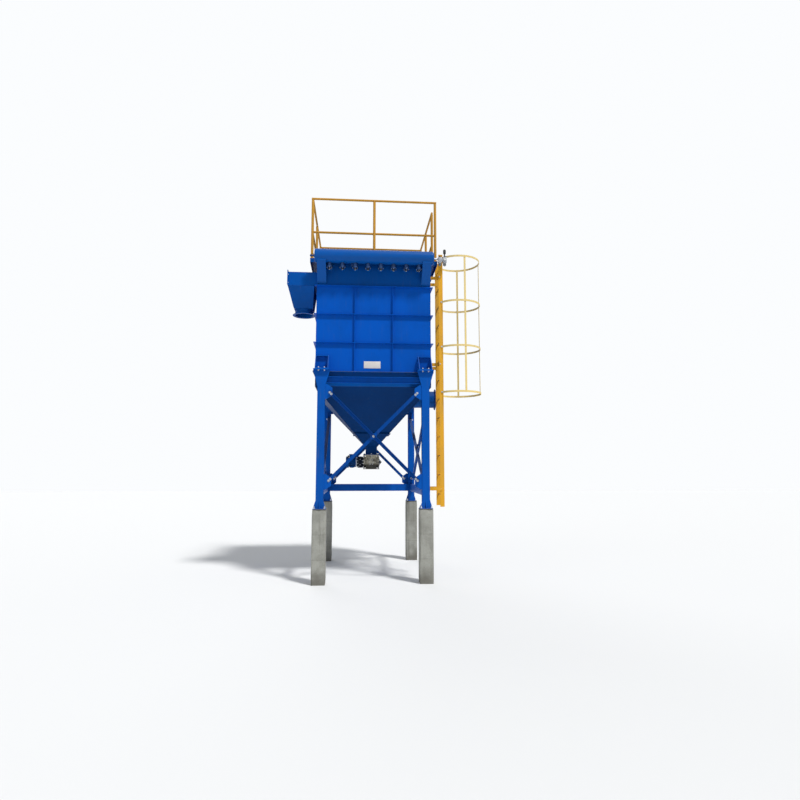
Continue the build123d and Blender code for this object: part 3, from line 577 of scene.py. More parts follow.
def settle(made: bpy.types.Object) -> bpy.types.Object:
    """Hangs a finished piece on the filter.

    Args:
        made: the piece, already in its place.

    Returns:
        The same piece.
    """
    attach(made, "root")
    log.info("piece %s, %d faces", made.name, len(made.data.polygons))
    return made


class Shape:
    """A mesh in the making, in metres, in the model's own frame."""

    def __init__(self) -> None:
        """Starts with an empty mesh."""
        self.bm = bmesh.new()

    def cube(self, middle: Vector, size: Vector) -> list[bmesh.types.BMEdge]:
        """Adds a sharp box and returns its edges."""
        place = Matrix.Translation(middle) @ Matrix.Diagonal((*size, 1.0))
        made = bmesh.ops.create_cube(self.bm, size=1.0, matrix=place)
        return list({edge for vert in made["verts"] for edge in vert.link_edges})

    def box(self, low: Point, high: Point, bevel: float) -> "Shape":
        """Adds a box between two corners, with its edges rounded by the bevel, and returns the shape."""
        edges = self.cube((Vector(low) + Vector(high)) / 2, Vector(high) - Vector(low))
        bmesh.ops.bevel(self.bm, geom=edges, offset=bevel, segments=2, affect="EDGES", profile=0.6)
        return self

    def _circle(self, centre: Vector, side: Vector, other: Vector, radius: float,
                sides: int) -> list[bmesh.types.BMVert]:
        """Adds points round a centre, in the plane of two directions."""
        turns = [2 * math.pi * i / sides for i in range(sides)]
        return [self.bm.verts.new(centre + (side * math.cos(t) + other * math.sin(t)) * radius) for t in turns]

    def _skin(self, rings: Sequence[Sequence[bmesh.types.BMVert]], sides: int) -> "Shape":
        """Joins rings of points with faces and closes both ends.

        Args:
            rings: the rings; one that is a single point closes to a tip.
            sides: how many points a full ring has.

        Returns:
            The shape itself.
        """
        for first, second in zip(rings, rings[1:]):
            for i in range(sides):
                j = (i + 1) % sides
                around = [first[i % len(first)], first[j % len(first)],
                          second[j % len(second)], second[i % len(second)]]
                corners = list(dict.fromkeys(around))
                if len(corners) > 2:
                    self.bm.faces.new(corners)
        for end in (rings[0][::-1], rings[-1]):
            if len(end) > 2:
                self.bm.faces.new(end)
        return self

    def lathe(self, start: Point, axis: Point, profile: Profile, sides: int = 32) -> "Shape":
        """Adds a turned form.

        Args:
            start: the point that the profile is measured from.
            axis: the direction that it is turned about.
            profile: pairs of distance along the axis and radius; a radius of 0 closes an end.
            sides: how many flats make the round.

        Returns:
            The shape itself.
        """
        along = Vector(axis).normalized()
        side = along.orthogonal().normalized()
        other = along.cross(side)
        rings = []
        for distance, radius in profile:
            centre = Vector(start) + along * distance
            rings.append(self._circle(centre, side, other, radius, sides) if radius > 0
                         else [self.bm.verts.new(centre)])
        return self._skin(rings, sides)

    def prism(self, outline: Sequence[Point], way: Point) -> "Shape":
        """Adds a polygon drawn out along a way, and returns the shape."""
        layers = [[self.bm.verts.new(Vector(corner) + offset) for corner in outline]
                  for offset in (NOWHERE, Vector(way))]
        return self._skin(layers, len(outline))

    def sweep(self, route: Sequence[Point], radius: float, sides: int) -> "Shape":
        """Adds a round bar that follows a route.

        Args:
            route: the points of the bar's middle line.
            radius: the bar's radius.
            sides: how many flats make the round.

        Returns:
            The shape itself.
        """
        points = [Vector(point) for point in route]
        side = (points[1] - points[0]).orthogonal().normalized()
        rings = []
        for i, point in enumerate(points):
            way = (points[min(i + 1, len(points) - 1)] - points[max(i - 1, 0)]).normalized()
            side = (side - way * side.dot(way)).normalized()
            rings.append(self._circle(point, side, way.cross(side), radius, sides))
        return self._skin(rings, sides)

    def mesh(self, name: str) -> bpy.types.Mesh:
        """Closes the shape and returns its mesh."""
        mesh = bpy.data.meshes.new(name)
        self.bm.to_mesh(mesh)
        self.bm.free()
        return mesh

    def piece(self, name: str, finish: str, slot: str, smooth: float = 35.0) -> bpy.types.Object:
        """Turns the mesh into a finished piece.

        Args:
            name: the piece's name.
            finish: its material's name.
            slot: not used.
            smooth: the edge angle in degrees below which faces are shaded as one.

        Returns:
            The object, riding on the filter.
        """
        bmesh.ops.recalc_face_normals(self.bm, faces=self.bm.faces)
        shade(self.bm, smooth)
        mesh = self.mesh(name)
        mesh.materials.append(palette[finish])
        return settle(linked(name, mesh))


class Pattern(Graph):
    """A geometry tree that repeats a shape at the points, or along the edges, of a mesh.

    Its sizes are named inputs, and it ends in Realize Instances and Set Material.
    """

    sizes: Mapping[str, float] = {}

    def __init__(self) -> None:
        """Builds the tree."""
        super().__init__(bpy.data.node_groups.new(type(self).__name__.lower(), "GeometryNodeTree"))
        kinds = {"Points": "Geometry", **dict.fromkeys(self.sizes, "Float"), "Model": "Object",
                 "Finish": "Material"}
        for key, kind in kinds.items():
            socket = self.tree.interface.new_socket(name=key, in_out="INPUT", socket_type="NodeSocket" + kind)
            if key in self.sizes:
                socket.default_value = self.sizes[key]
        self.tree.interface.new_socket(name="Mesh", in_out="OUTPUT", socket_type="NodeSocketGeometry")
        self.given = self.tree.nodes.new("NodeGroupInput")
        mesh = self.node("GeometryNodeRealizeInstances", {"Geometry": self.built()})
        mesh = self.node("GeometryNodeSetMaterial", {"Geometry": mesh, "Material": self.input("Finish")})
        self.tree.links.new(mesh.socket, self.tree.nodes.new("NodeGroupOutput").inputs[0])

    def input(self, key: str) -> Term:
        """One of the tree's named inputs."""
        return Term(self, self.given.outputs[key])

    def built(self) -> Term:
        """The instances, before they are made real."""
        raise NotImplementedError

    def raised(self, part: Term, height: Any) -> Term:
        """A geometry moved up its own axis."""
        offset = self.node("ShaderNodeCombineXYZ", {"Z": height})
        return self.node("GeometryNodeTransform", {"Geometry": part, "Translation": offset})

    def drum(self, corners: int, radius: Term, depth: Term, middle: Term) -> Term:
        """A cylinder with its middle at a height."""
        sizes = {"Vertices": corners, "Radius": radius, "Depth": depth}
        return self.raised(self.node("GeometryNodeMeshCylinder", sizes), middle)

    def cone(self, corners: int, radius: Term, top: Term, depth: Term, foot: Any) -> Term:
        """A cut cone that stands at a height."""
        sizes = {"Vertices": corners, "Radius Bottom": radius, "Radius Top": top, "Depth": depth}
        return self.raised(self.node("GeometryNodeMeshCone", sizes), foot)

    def placed(self, *parts: Term) -> Term:
        """Copies of the joined parts, turned as each point's aim and along say.

        Args:
            parts: the geometries of one copy.

        Returns:
            The instances.
        """
        joined = self.tree.nodes.new("GeometryNodeJoinGeometry")
        for part in parts:
            self.tree.links.new(part.socket, joined.inputs[0])
        aim, along = (self.node("GeometryNodeInputNamedAttribute", {"Name": name}, "Attribute",
                                data_type="FLOAT_VECTOR") for name in ("aim", "along"))
        turn = self.node("FunctionNodeAlignRotationToVector", {"Vector": aim}, axis="Z")
        turn = self.node("FunctionNodeAlignRotationToVector", {"Rotation": turn, "Vector": along}, axis="X",
                         pivot_axis="Z")
        return self.node("GeometryNodeInstanceOnPoints", {"Points": self.input("Points"), "Rotation": turn,
                                                          "Instance": Term(self, joined.outputs[0])})

    def lay(self, name: str, finish: str, slot: str, mesh: bpy.types.Mesh, smooth: float,
            values: Mapping[str, Any]) -> bpy.types.Object:
        """Runs the tree on a mesh and keeps the result as a plain mesh.

        Args:
            name: the piece's name.
            finish: its material's name.
            slot: not used.
            mesh: the points or edges that the tree works on.
            smooth: the edge angle in degrees below which faces are shaded as one.
            values: sizes that differ from the tree's own.

        Returns:
            The finished piece.
        """
        made = linked(name, mesh)
        modifier = made.modifiers.new(name, "NODES")
        modifier.node_group = self.tree
        chosen = {**values, "Finish": palette[finish]}
        for item in self.tree.interface.items_tree:
            if item.in_out == "INPUT" and item.name in chosen:
                modifier[item.identifier] = chosen[item.name]
        seen = made.evaluated_get(bpy.context.evaluated_depsgraph_get())
        final = bpy.data.meshes.new_from_object(seen)
        made.modifiers.clear()
        made.data = final
        bpy.data.meshes.remove(mesh)
        bm = bmesh.new()
        bm.from_mesh(final)
        shade(bm, smooth)
        bm.to_mesh(final)
        bm.free()
        return settle(made)

    def spread(self, name: str, finish: str, slot: str, spots: Sequence[Spot],
               **values: Any) -> bpy.types.Object:
        """Puts the pattern on spots.

        Args:
            name: the piece's name.
            finish: its material's name.
            slot: the record's material slot.
            spots: where each copy stands.
            values: sizes that differ from the tree's own.

        Returns:
            The finished piece.
        """
        mesh = bpy.data.meshes.new(name + "_points")
        mesh.from_pydata([spot.place for spot in spots], [], [])
        for key in ("aim", "along"):
            attribute = mesh.attributes.new(key, "FLOAT_VECTOR", "POINT")
            attribute.data.foreach_set("vector", [c for spot in spots for c in getattr(spot, key)])
        return self.lay(name, finish, slot, mesh, 35.0, values)


class Bolts(Pattern):
    """Hexagon heads or nuts on round washers, with the end of the stud showing."""

    sizes = {"Radius": 0.011, "Height": 0.008, "Washer": 0.0025, "Stud": 0.006}

    def built(self) -> Term:
        """A washer, a hexagon, its chamfered top and the stud's end."""
        radius, height, washer, stud = (self.input(key) for key in self.sizes)
        return self.placed(self.drum(14, radius * 1.5, washer, washer * 0.5),
                           self.drum(6, radius, height * 0.8, washer + height * 0.4),
                           self.cone(6, radius, radius * 0.82, height * 0.2, washer + height * 0.8),
                           self.drum(8, radius * 0.5, stud, washer + height + stud * 0.5))


class Rivets(Pattern):
    """Low round heads."""

    sizes = {"Radius": 0.006, "Height": 0.003}

    def built(self) -> Term:
        """A head that narrows in two steps."""
        radius, step = self.input("Radius"), self.input("Height") * 0.5
        return self.placed(self.cone(12, radius, radius * 0.85, step, 0.0),
                           self.cone(12, radius * 0.85, radius * 0.35, step, step))


class Bars(Pattern):
    """Flat bars: cooling fins, ribs and slats."""

    sizes = {"Length": 0.1, "Width": 0.003, "Height": 0.012}

    def built(self) -> Term:
        """A bar that stands on its spot, with a narrower step on its top."""
        length, width, height = (self.input(key) for key in self.sizes)
        steps = []
        for share, low, high in ((1.0, 0.0, 0.8), (0.6, 0.8, 1.0)):
            size = self.node("ShaderNodeCombineXYZ",
                             {"X": length, "Y": width * share, "Z": height * (high - low)})
            steps.append(self.raised(self.node("GeometryNodeMeshCube", {"Size": size}),
                                     height * ((low + high) / 2)))
        return self.placed(*steps)


class Copies(Pattern):
    """Copies of a piece that is modelled once."""

    def built(self) -> Term:
        """The model, at each spot."""
        return self.placed(self.node("GeometryNodeObjectInfo", {"Object": self.input("Model")}, "Geometry"))

    def of(self, shape: Shape, name: str, finish: str, slot: str, spots: Sequence[Spot]) -> bpy.types.Object:
        """Repeats a shape.

        Args:
            shape: the shape, modelled about the origin.
            name: the piece's name.
            finish: its material's name.
            slot: the record's material slot.
            spots: where each copy stands.

        Returns:
            The finished piece.
        """
        bmesh.ops.recalc_face_normals(shape.bm, faces=shape.bm.faces)
        model = linked(name + "_model", shape.mesh(name + "_model"))
        made = self.spread(name, finish, slot, spots, Model=model)
        bpy.data.objects.remove(model)
        return made


class Seams(Pattern):
    """Weld beads or sealant that run along lines."""

    sizes = {"Radius": 0.0045, "Step": 0.014, "Unevenness": 0.18}
    seed = 11

    def built(self) -> Term:
        """An uneven round bead along each line."""
        radius, step, uneven = (self.input(key) for key in self.sizes)
        line = self.node("GeometryNodeMeshToCurve", {"Mesh": self.input("Points")})
        line = self.node("GeometryNodeResampleCurve", {"Curve": line, "Length": step}, mode="LENGTH")
        swell = self.node("FunctionNodeRandomValue", {"Min_001": 1 - uneven, "Max_001": uneven + 1,
                                                      "Seed": self.seed}, "Value_001", data_type="FLOAT")
        circle = self.node("GeometryNodeCurvePrimitiveCircle", {"Resolution": 6, "Radius": radius})
        return self.node("GeometryNodeCurveToMesh", {"Curve": line, "Profile Curve": circle, "Scale": swell,
                                                     "Fill Caps": True})

    def run(self, name: str, finish: str, slot: str, lines: Sequence[Sequence[Point]],
            **values: Any) -> bpy.types.Object:
        """Lays beads along lines.

        Args:
            name: the piece's name.
            finish: its material's name.
            slot: the record's material slot.
            lines: the points of each line.
            values: sizes that differ from the tree's own.

        Returns:
            The finished piece.
        """
        points: list[Vector] = []
        edges: list[tuple[int, int]] = []
        for line in lines:
            edges += [(i, i + 1) for i in range(len(points), len(points) + len(line) - 1)]
            points += [Vector(point) for point in line]
        mesh = bpy.data.meshes.new(name + "_lines")
        mesh.from_pydata(points, edges, [])
        return self.lay(name, finish, slot, mesh, 60.0, values)


bolts, rivets, bars, copies, seams = Bolts(), Rivets(), Bars(), Copies(), Seams()


@dataclass
class Studio:
    """The camera, the lamps, the floor and the background.

    Attributes:
        lens: the camera's lens in millimetres.
        eye: where a standing person's eye is.
        heading: how far the camera is turned to the left, in degrees.
        tilt: how far it looks up, in degrees.
        lamps: the power, the apparent size and the turns of each lamp, in degrees.
        sky: the colour of the light from all sides.
        white: the background that the camera and the reflections see.
        reach: half of the floor's side.
    """

    lens: float = 26.0
    eye: Point = (-0.458, -9.925, 1.65)
    heading: float = -4.45
    tilt: float = 7.0
    lamps: tuple[tuple[str, float, float, Point], ...] = (
        ("key", 2.9, 7.0, (32.0, 0.0, 40.0)), ("fill", 0.2, 50.0, (62.0, 0.0, -48.0)),
        ("rear", 0.6, 40.0, (55.0, 0.0, -165.0)))
    sky: Colour = (0.86, 0.92, 1.0, 1.0)
    sky_strength: float = 0.30
    white: Colour = (0.965, 0.98, 0.995, 1.0)
    reach: float = 40.0

    def build(self) -> None:
        """Sets up the whole studio."""
        data = bpy.data.cameras.new("camera")
        data.lens = self.lens
        data.sensor_width = 36.0
        camera = linked("camera", data)
        camera.location = self.eye
        camera.rotation_euler = (math.radians(90 + self.tilt), 0.0, math.radians(self.heading))
        bpy.context.scene.camera = camera
        for name, power, angle, turn in self.lamps:
            data = bpy.data.lights.new(name, "SUN")
            data.energy = power
            data.angle = math.radians(angle)
            linked(name, data).rotation_euler = [math.radians(a) for a in turn]
        self._world()
        self._floor()

    def _world(self) -> None:
        """A pale sky that lights the filter, and a near white background to be seen."""
        world = bpy.data.worlds.new("studio")
        world.use_nodes = True
        world.node_tree.nodes.clear()
        sky = Graph(world.node_tree)
        seen = sky.node("ShaderNodeLightPath", output="Is Camera Ray")
        for ray in ("Is Glossy Ray", "Is Transmission Ray"):
            seen = seen.largest(sky.node("ShaderNodeLightPath", output=ray))
        light = sky.node("ShaderNodeBackground", {"Color": self.sky, "Strength": self.sky_strength})
        white = sky.node("ShaderNodeBackground", {"Color": self.white, "Strength": 1.0})
        both = sky.node("ShaderNodeMixShader", {0: seen, 1: light, 2: white})
        sky.node("ShaderNodeOutputWorld", {"Surface": both})
        bpy.context.scene.world = world
        bpy.context.scene.view_settings.view_transform = "Standard"

    def _floor(self) -> None:
        """A wide flat floor under the plinths."""
        mesh = bpy.data.meshes.new("floor")
        ways = ((-1, -1), (1, -1), (1, 1), (-1, 1))
        mesh.from_pydata([(x * self.reach, y * self.reach, 0.0) for x, y in ways], [], [(0, 1, 2, 3)])
        mesh.materials.append(palette["pale_floor"])
        floor = linked("floor", mesh)


@dataclass
class Footings:
    """The concrete plinths, the grout on them and the anchor bolts."""

    side: float = 0.21
    base_plate: float = 0.19
    base_thickness: float = 0.016
    bolt_inset: float = 0.019
    grout_lip: float = 0.006
    worn: float = 0.007
    worn_width: float = 0.02
    cuts: int = 13

    def __post_init__(self) -> None:
        """Finds the plinths."""
        span = Span.of("plinths")
        self.leg_x, self.leg_y = span.half.x - self.side / 2, span.half.y - self.side / 2
        self.top = span.high.z

    def build(self) -> None:
        """Builds the plinths, the grout and the bolts."""
        shape, grout = Shape(), Shape()
        half = self.base_plate / 2
        edge = half + self.grout_lip
        for x_way, y_way in CORNERS:
            foot = at(x_way * self.leg_x, y_way * self.leg_y, 0.0)
            self._plinth(shape, foot)
            grout.box(foot + Vector((-edge, -edge, self.top - 0.002)),
                      foot + Vector((edge, edge, self.top + 0.009)), 0.004)
        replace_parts(shape.piece("cast_plinths", "concrete", "concrete", 24.0), "plinths")
        grout.piece("base_grout", "grout", "concrete")
        reach = half - self.bolt_inset
        spots = [Spot(at(self.leg_x + x, self.leg_y + y, self.top + self.base_thickness))
                 for x in (-reach, reach) for y in (-reach, reach)]
        bolts.spread("anchor_nuts", "zinc_plate", "blue_frame", mirrored(spots, CORNERS),
                     Radius=0.013, Height=0.012, Stud=0.022)

    def _plinth(self, shape: Shape, foot: Vector) -> None:
        """Adds one plinth with worn edges and a slightly uneven face.

        Args:
            shape: the mesh that it goes into.
            foot: the middle of its foot.
        """
        size = Vector((self.side, self.side, self.top))
        middle = foot + Vector((0.0, 0.0, self.top / 2))
        bmesh.ops.subdivide_edges(shape.bm, edges=shape.cube(middle, size), cuts=self.cuts, use_grid_fill=True)
        for vert in [v for v in shape.bm.verts if (v.co - foot).xy.length < self.side]:
            offset = vert.co - middle
            near = [1.0 - min(1.0, (size[i] / 2 - abs(offset[i])) / self.worn_width) for i in range(3)]
            rough = noise.noise(vert.co * 9.0) * 0.5 + noise.noise(vert.co * 37.0) * 0.5
            chip = max(0.0, noise.noise(vert.co * 16.0) - 0.12) * 2.4
            pull = sorted(near)[1] * self.worn * (0.7 + chip) + (0.0008 + 0.0012 * rough)
            for i in range(3):
                if near[i] > 0.0 and (i < 2 or offset[2] > 0.0):
                    vert.co[i] -= math.copysign(pull * near[i], offset[i])


@dataclass
class Framework:
    """The bolts and weld beads of the legs, beams, braces and lugs."""

    leg_flange: float = 0.115
    flange_thickness: float = 0.009
    gusset: float = 0.008
    angle: float = 0.005
    brace_end_inset: float = 0.115
    brace_side_inset: float = 0.10
    brace_low_rise: float = 0.41
    front_brace_drop: float = 0.345
    side_brace_drop: float = 0.555
    base_thickness: float = 0.016
    cap_thickness: float = 0.016
    lug_plate: float = 0.012
    web_bead: float = 0.0045
    bolt_rows: tuple[float, float] = (0.022, 0.056)
    cap_bolts: tuple[tuple[float, float], ...] = ((-0.045, 0.082), (0.045, 0.082), (-0.031, 0.0), (0.031, 0.0))

    def __post_init__(self) -> None:
        """Finds the legs."""
        footings = Footings()
        self.leg_x, self.leg_y = footings.leg_x, footings.leg_y
        self.foot_z, self.seat_z = footings.top, Span.of("legs").high.z

    def build(self) -> None:
        """Adds the bolts and the beads."""
        spots = self._end_brace_bolts() + self._side_brace_bolts() + self._cap_bolts()
        bolts.spread("frame_bolts", "zinc_plate", "blue_frame", spots, Radius=0.0125, Height=0.010, Stud=0.008)
        self._welds()

    def _through(self, reach: float, drop: float) -> list[tuple[float, float, float, float]]:
        """Bolts through two crossed braces and their gusset plates.

        Args:
            reach: half of the braces' run.
            drop: how far below the casing's seat their upper ends are.

        Returns:
            For each bolt its run, its height, the brace under its head and the brace under its nut.
        """
        low = Vector((reach, self.foot_z + self.brace_low_rise))
        high = Vector((-reach, self.seat_z - drop))
        way = (high - low).normalized()
        ends = [low + way * row for row in self.bolt_rows] + [high - way * row for row in self.bolt_rows]
        made = []
        for run, z in ends:
            made += [(run, z, self.angle, 0.0), (-run, z, 0.0, self.angle)]
        run, z = (low + high) / 2
        return made + [(run, z, self.angle, self.angle)]

    def _end_brace_bolts(self) -> list[Spot]:
        """Heads outside and nuts inside, on the front and back braces."""
        plane = self.leg_y + self.leg_flange / 2 - self.flange_thickness
        spots = []
        for run, z, outer, inner in self._through(self.leg_x - self.brace_end_inset, self.front_brace_drop):
            spots += [Spot(at(run, plane + outer, z), BACK),
                      Spot(at(run, plane - self.gusset - inner, z), FRONT)]
        return mirrored(spots, ((1, -1), (1, 1)))

    def _side_brace_bolts(self) -> list[Spot]:
        """Heads outside and nuts inside, on the left and right braces."""
        half = self.gusset / 2
        spots = []
        for run, z, outer, inner in self._through(self.leg_y - self.brace_side_inset, self.side_brace_drop):
            spots += [Spot(at(self.leg_x + (half + outer), run, z), RIGHT),
                      Spot(at(self.leg_x - (half + inner), run, z), LEFT)]
        return mirrored(spots, ((-1, 1), (1, 1)))

    def _cap_bolts(self) -> list[Spot]:
        """Bolts through each cap plate and the lug on it."""
        faces = ((self.seat_z - self.cap_thickness, DOWN), (self.seat_z + self.lug_plate, UP))
        return mirrored([Spot(at(self.leg_x + x, self.leg_y + y, z), aim) for x, y in self.cap_bolts
                         for z, aim in faces], CORNERS)

    def _welds(self) -> None:
        """Beads where plates meet the legs' sections."""
        half = self.leg_flange / 2
        lug = Span.of("support_lugs")
        web, top = lug.half.x - self.leg_x, lug.high.z
        seat = self.seat_z + self.lug_plate + BEAD_LIFT
        toe, face = lug.half.y - self.leg_y, Span.of("clean_air_plenum").half.y - self.leg_y
        near = face + BEAD_LIFT
        ends = []
        for z in (self.foot_z + self.base_thickness + BEAD_LIFT, self.seat_z - self.cap_thickness - BEAD_LIFT):
            ends += [((-half, y, z), (half, y, z)) for y in (half, -half)]
            ends += [((x, -half + 0.01, z), (x, half - 0.01, z)) for x in (-self.web_bead, self.web_bead)]
        for way in BOTH:
            x, inner_x = way * web, way * (web - 0.013)
            ends += [((x, near, seat), (x, near, top)),
                     ((inner_x, face + 0.04, seat), (inner_x, toe - 0.01, seat))]
        ends.append(((-web, near, top + 0.001), (web, near, top + 0.001)))
        lines = [[at(x_way * (self.leg_x + x), y_way * (self.leg_y + y), z) for x, y, z in pair]
                 for x_way, y_way in CORNERS for pair in ends]
        seams.run("frame_welds", "frame_blue", "blue_frame", lines)


@dataclass
class Casing:
    """The casing's flange bolts, rib welds, sealant, rain edge rivets and bare label plate."""

    rib_depth: float = 0.04
    rib_pitch: float = 0.457
    rib_thickness: float = 0.008
    flange_inset: float = 0.02
    flange_thickness: float = 0.01
    bolt_pitch: float = 0.15
    lug_half: float = 0.12
    label_middle: tuple[float, float] = (-0.022, 3.296)
    label_half: tuple[float, float] = (0.13, 0.055)
    label_thickness: float = 0.004
    screw_inset: float = 0.012
    rivet_pitch: float = 0.2

    def __post_init__(self) -> None:
        """Finds the casing."""
        self.body, self.flange = Span.of("clean_air_plenum"), Span.of("casing_flange")
        self.sheet = Span.of("tube_sheet")
        self.half_x, self.half_y = self.body.half.x, self.body.half.y

    def build(self) -> None:
        """Adds everything that belongs to the casing."""
        self._flange_bolts()
        self._welds()
        lines = [rectangle(-x, x, -y, y, z) for x, y, z in (
            (self.half_x + self.rib_depth, self.half_y + self.rib_depth, self.flange.low.z),
            (self.half_x + BEAD_LIFT, self.half_y + BEAD_LIFT, self.sheet.high.z + 0.001))]
        seams.run("flange_sealant", "seal_grey", "blue_casing", lines, Radius=0.0028, Step=0.03)
        self._label()
        self._deck_edge()

    def _flange_bolts(self) -> None:
        """Bolts all round the flange under the casing, but where a lug covers it."""
        x_line = self.half_x + self.rib_depth - self.flange_inset
        y_line = self.half_y + self.rib_depth - self.flange_inset
        leg_x = Footings().leg_x
        places = [(x, y_line) for x in spaced(-x_line + 0.02, x_line - 0.02, self.bolt_pitch)
                  if abs(abs(x) - leg_x) > self.lug_half]
        places += [(x, -y) for x, y in places]
        sides = [(x_line, y) for y in spaced(-y_line + 0.08, y_line - 0.08, self.bolt_pitch)]
        places += sides + [(-x, y) for x, y in sides]
        faces = ((self.flange.high.z, UP), (self.flange.low.z - self.flange_thickness, DOWN))
        spots = [Spot(at(x, y, z), aim) for z, aim in faces for x, y in places]
        bolts.spread("casing_flange_bolts", "casing_blue", "blue_casing", spots, Radius=0.0085, Height=0.007,
                     Stud=0.005, Washer=0.002)

    def _welds(self) -> None:
        """Fillet beads along the ribs, the corners and the tube sheet."""
        x, y = self.half_x, self.half_y
        out_x, out_y = x + BEAD_LIFT, y + BEAD_LIFT
        bays = (self.flange.high.z + 0.004, self.sheet.low.z - 0.004)
        lines = []
        for way in BOTH:
            for row in (1, 2):
                for rise in (-BEAD_LIFT, self.rib_thickness + BEAD_LIFT):
                    z = self.flange.low.z + self.rib_pitch * row + rise
                    lines += [stroke((-x, x), way * out_y, z), stroke(way * out_x, (-y, y), z)]
            for bay in BOTH:
                for side in BOTH:
                    offset = side * (self.rib_thickness / 2 + BEAD_LIFT)
                    lines += [stroke(bay * x / 3 + offset, way * out_y, bays),
                              stroke(way * out_x, bay * y / 3 + offset, bays)]
            for x_way in BOTH:
                lines += [stroke(x_way * x, way * y, run)
                          for run in (bays, (self.sheet.high.z, self.body.high.z - 0.06))]
        seams.run("casing_welds", "casing_blue", "blue_casing", lines, Radius=0.004, Step=0.02)

    def _label(self) -> None:
        """A bare enamel plate with four rivets on the front."""
        (x, z), (dx, dz) = self.label_middle, self.label_half
        face = -self.half_y - self.label_thickness
        plate = Shape().box(at(x - dx, face, z - dz), at(x + dx, -self.half_y + 0.001, z + dz), 0.0016)
        plate.piece("label_plate", "label_enamel", "blue_casing")
        spots = [Spot(at(x + i * (dx - self.screw_inset), face, z + k * (dz - self.screw_inset)), FRONT)
                 for i in BOTH for k in BOTH]
        rivets.spread("label_rivets", "zinc_plate", "blue_casing", spots)

    def _deck_edge(self) -> None:
        """Rivet heads along the roof's folded edge."""
        deck = Span.of("roof_deck")
        x, y, z = deck.half.x, deck.half.y, deck.low.z + 0.028
        spots = []
        for way in BOTH:
            spots += [Spot(at(run, way * y, z), level(0.0, way))
                      for run in spaced(-x + 0.06, x - 0.06, self.rivet_pitch)]
            spots += [Spot(at(way * x, run, z), level(way, 0.0))
                      for run in spaced(-y + 0.06, y - 0.06, self.rivet_pitch)]
        spots = [Spot(spot.place - spot.aim * 0.002, spot.aim) for spot in spots]
        rivets.spread("deck_rivets", "plenum_blue_painted_shade", "blue_casing", spots, Radius=0.008, Height=0.0019)


@dataclass
class RoofCovers:
    """The two lids that the bags are lifted out under."""

    inner_edge: float = 0.1
    brim: float = 0.014
    lid_thickness: float = 0.036
    rim: float = 0.03
    fold_pitch: float = 0.5
    clamp_pitch: float = 0.42
    handle_half: float = 0.07
    handle_rise: float = 0.055
    handle_bend: float = 0.015

    def build(self) -> None:
        """Adds the lids, their stiffening folds, the handles and the clamps."""
        span = Span.of("roof_covers")
        low, high, y, rim = span.low.z, span.high.z, span.half.y, self.rim
        base = low + self.lid_thickness - 0.004
        top = base + self.handle_rise
        lids, handles, spots = Shape(), Shape(), []
        for way in BOTH:
            x0, x1 = sorted((way * self.inner_edge, way * span.half.x))
            lids.box(at(x0, -y, low), at(x1, y, low + self.brim), 0.003)
            lids.box(at(x0 + rim, -y + rim, low + 0.01), at(x1 - rim, y - rim, low + self.lid_thickness), 0.012)
            for run in spaced(-y + 0.3, y - 0.3, self.fold_pitch):
                lids.box(at(x0 + 0.08, run - 0.02, low + 0.03), at(x1 - 0.08, run + 0.02, high), 0.004)
            grip0, grip1 = (x0 + x1) / 2 - self.handle_half, (x0 + x1) / 2 + self.handle_half
            for run in (-y + 0.15, y - 0.15):
                route = ((grip0, base), (grip0, top - self.handle_bend), (grip0 + self.handle_bend, top),
                         (grip1 - self.handle_bend, top), (grip1, top - self.handle_bend), (grip1, base))
                handles.sweep([at(x, run, z) for x, z in route], 0.006, 10)
            spots += [Spot(at(x, run, low + self.brim)) for x in (x0 + self.brim, x1 - self.brim)
                      for run in spaced(-y + 0.1, y - 0.1, self.clamp_pitch)]
        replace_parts(lids.piece("cover_lids", "plenum_blue_painted_shade", "blue_casing"), "roof_covers")
        handles.piece("cover_handles", "zinc_plate", "blue_casing")
        bolts.spread("cover_clamps", "zinc_plate", "blue_casing", spots, Radius=0.009, Height=0.010, Stud=0.010)


@dataclass
class Hopper:
    """The hopper's weld beads and the bolts of its neck."""

    wall_bead: float = 0.005
    neck_half: float = 0.09
    flange_thickness: float = 0.012
    inlet_flange: float = 0.010
    inlet_radius: float = 0.145
    bolt_line: float = 0.1175

    def build(self) -> None:
        """Adds the beads and the bolts."""
        skirt, neck, inlet = Span.of("hopper_skirt"), Span.of("hopper_neck"), Span.of("inlet_spigot")
        slope_top = Span.of("hopper_front_wall").high.z
        x, y = Span.of("clean_air_plenum").half.x, Span.of("clean_air_plenum").half.y
        half, flange_top = self.neck_half, neck.low.z + self.flange_thickness
        corner = ((x, y, skirt.high.z - 0.012), (x, y, slope_top),
                  (half, half, neck.high.z), (half, half, flange_top))
        lines = [[at(x_way * a, y_way * b, z) for a, b, z in corner] for x_way, y_way in CORNERS]
        edge = half + BEAD_LIFT
        for a, b, z in ((x, y, slope_top), (half, half, neck.high.z), (edge, edge, flange_top + BEAD_LIFT)):
            lines.append(rectangle(-a, a, -b, b, z))
        seams.run("hopper_welds", "hopper_blue_painted_shade", "blue_hopper", lines, Radius=self.wall_bead)
        lines = [hoop((run, 0.0, inlet.middle.z), self.inlet_radius, 40, Axis.X)
                 for run in (inlet.sides[1] - self.inlet_flange, x + BEAD_LIFT)]
        seams.run("inlet_welds", "skirt_blue", "blue_hopper", lines)
        line = self.bolt_line
        spots = [Spot(at(i * line, k * line, z), aim)
                 for z, aim in ((flange_top, UP), (neck.low.z - self.flange_thickness, DOWN))
                 for i in (-1, 0, 1) for k in (-1, 0, 1) if i or k]
        bolts.spread("neck_bolts", "zinc_plate", "blue_hopper", spots, Radius=0.0095, Height=0.008, Stud=0.007)


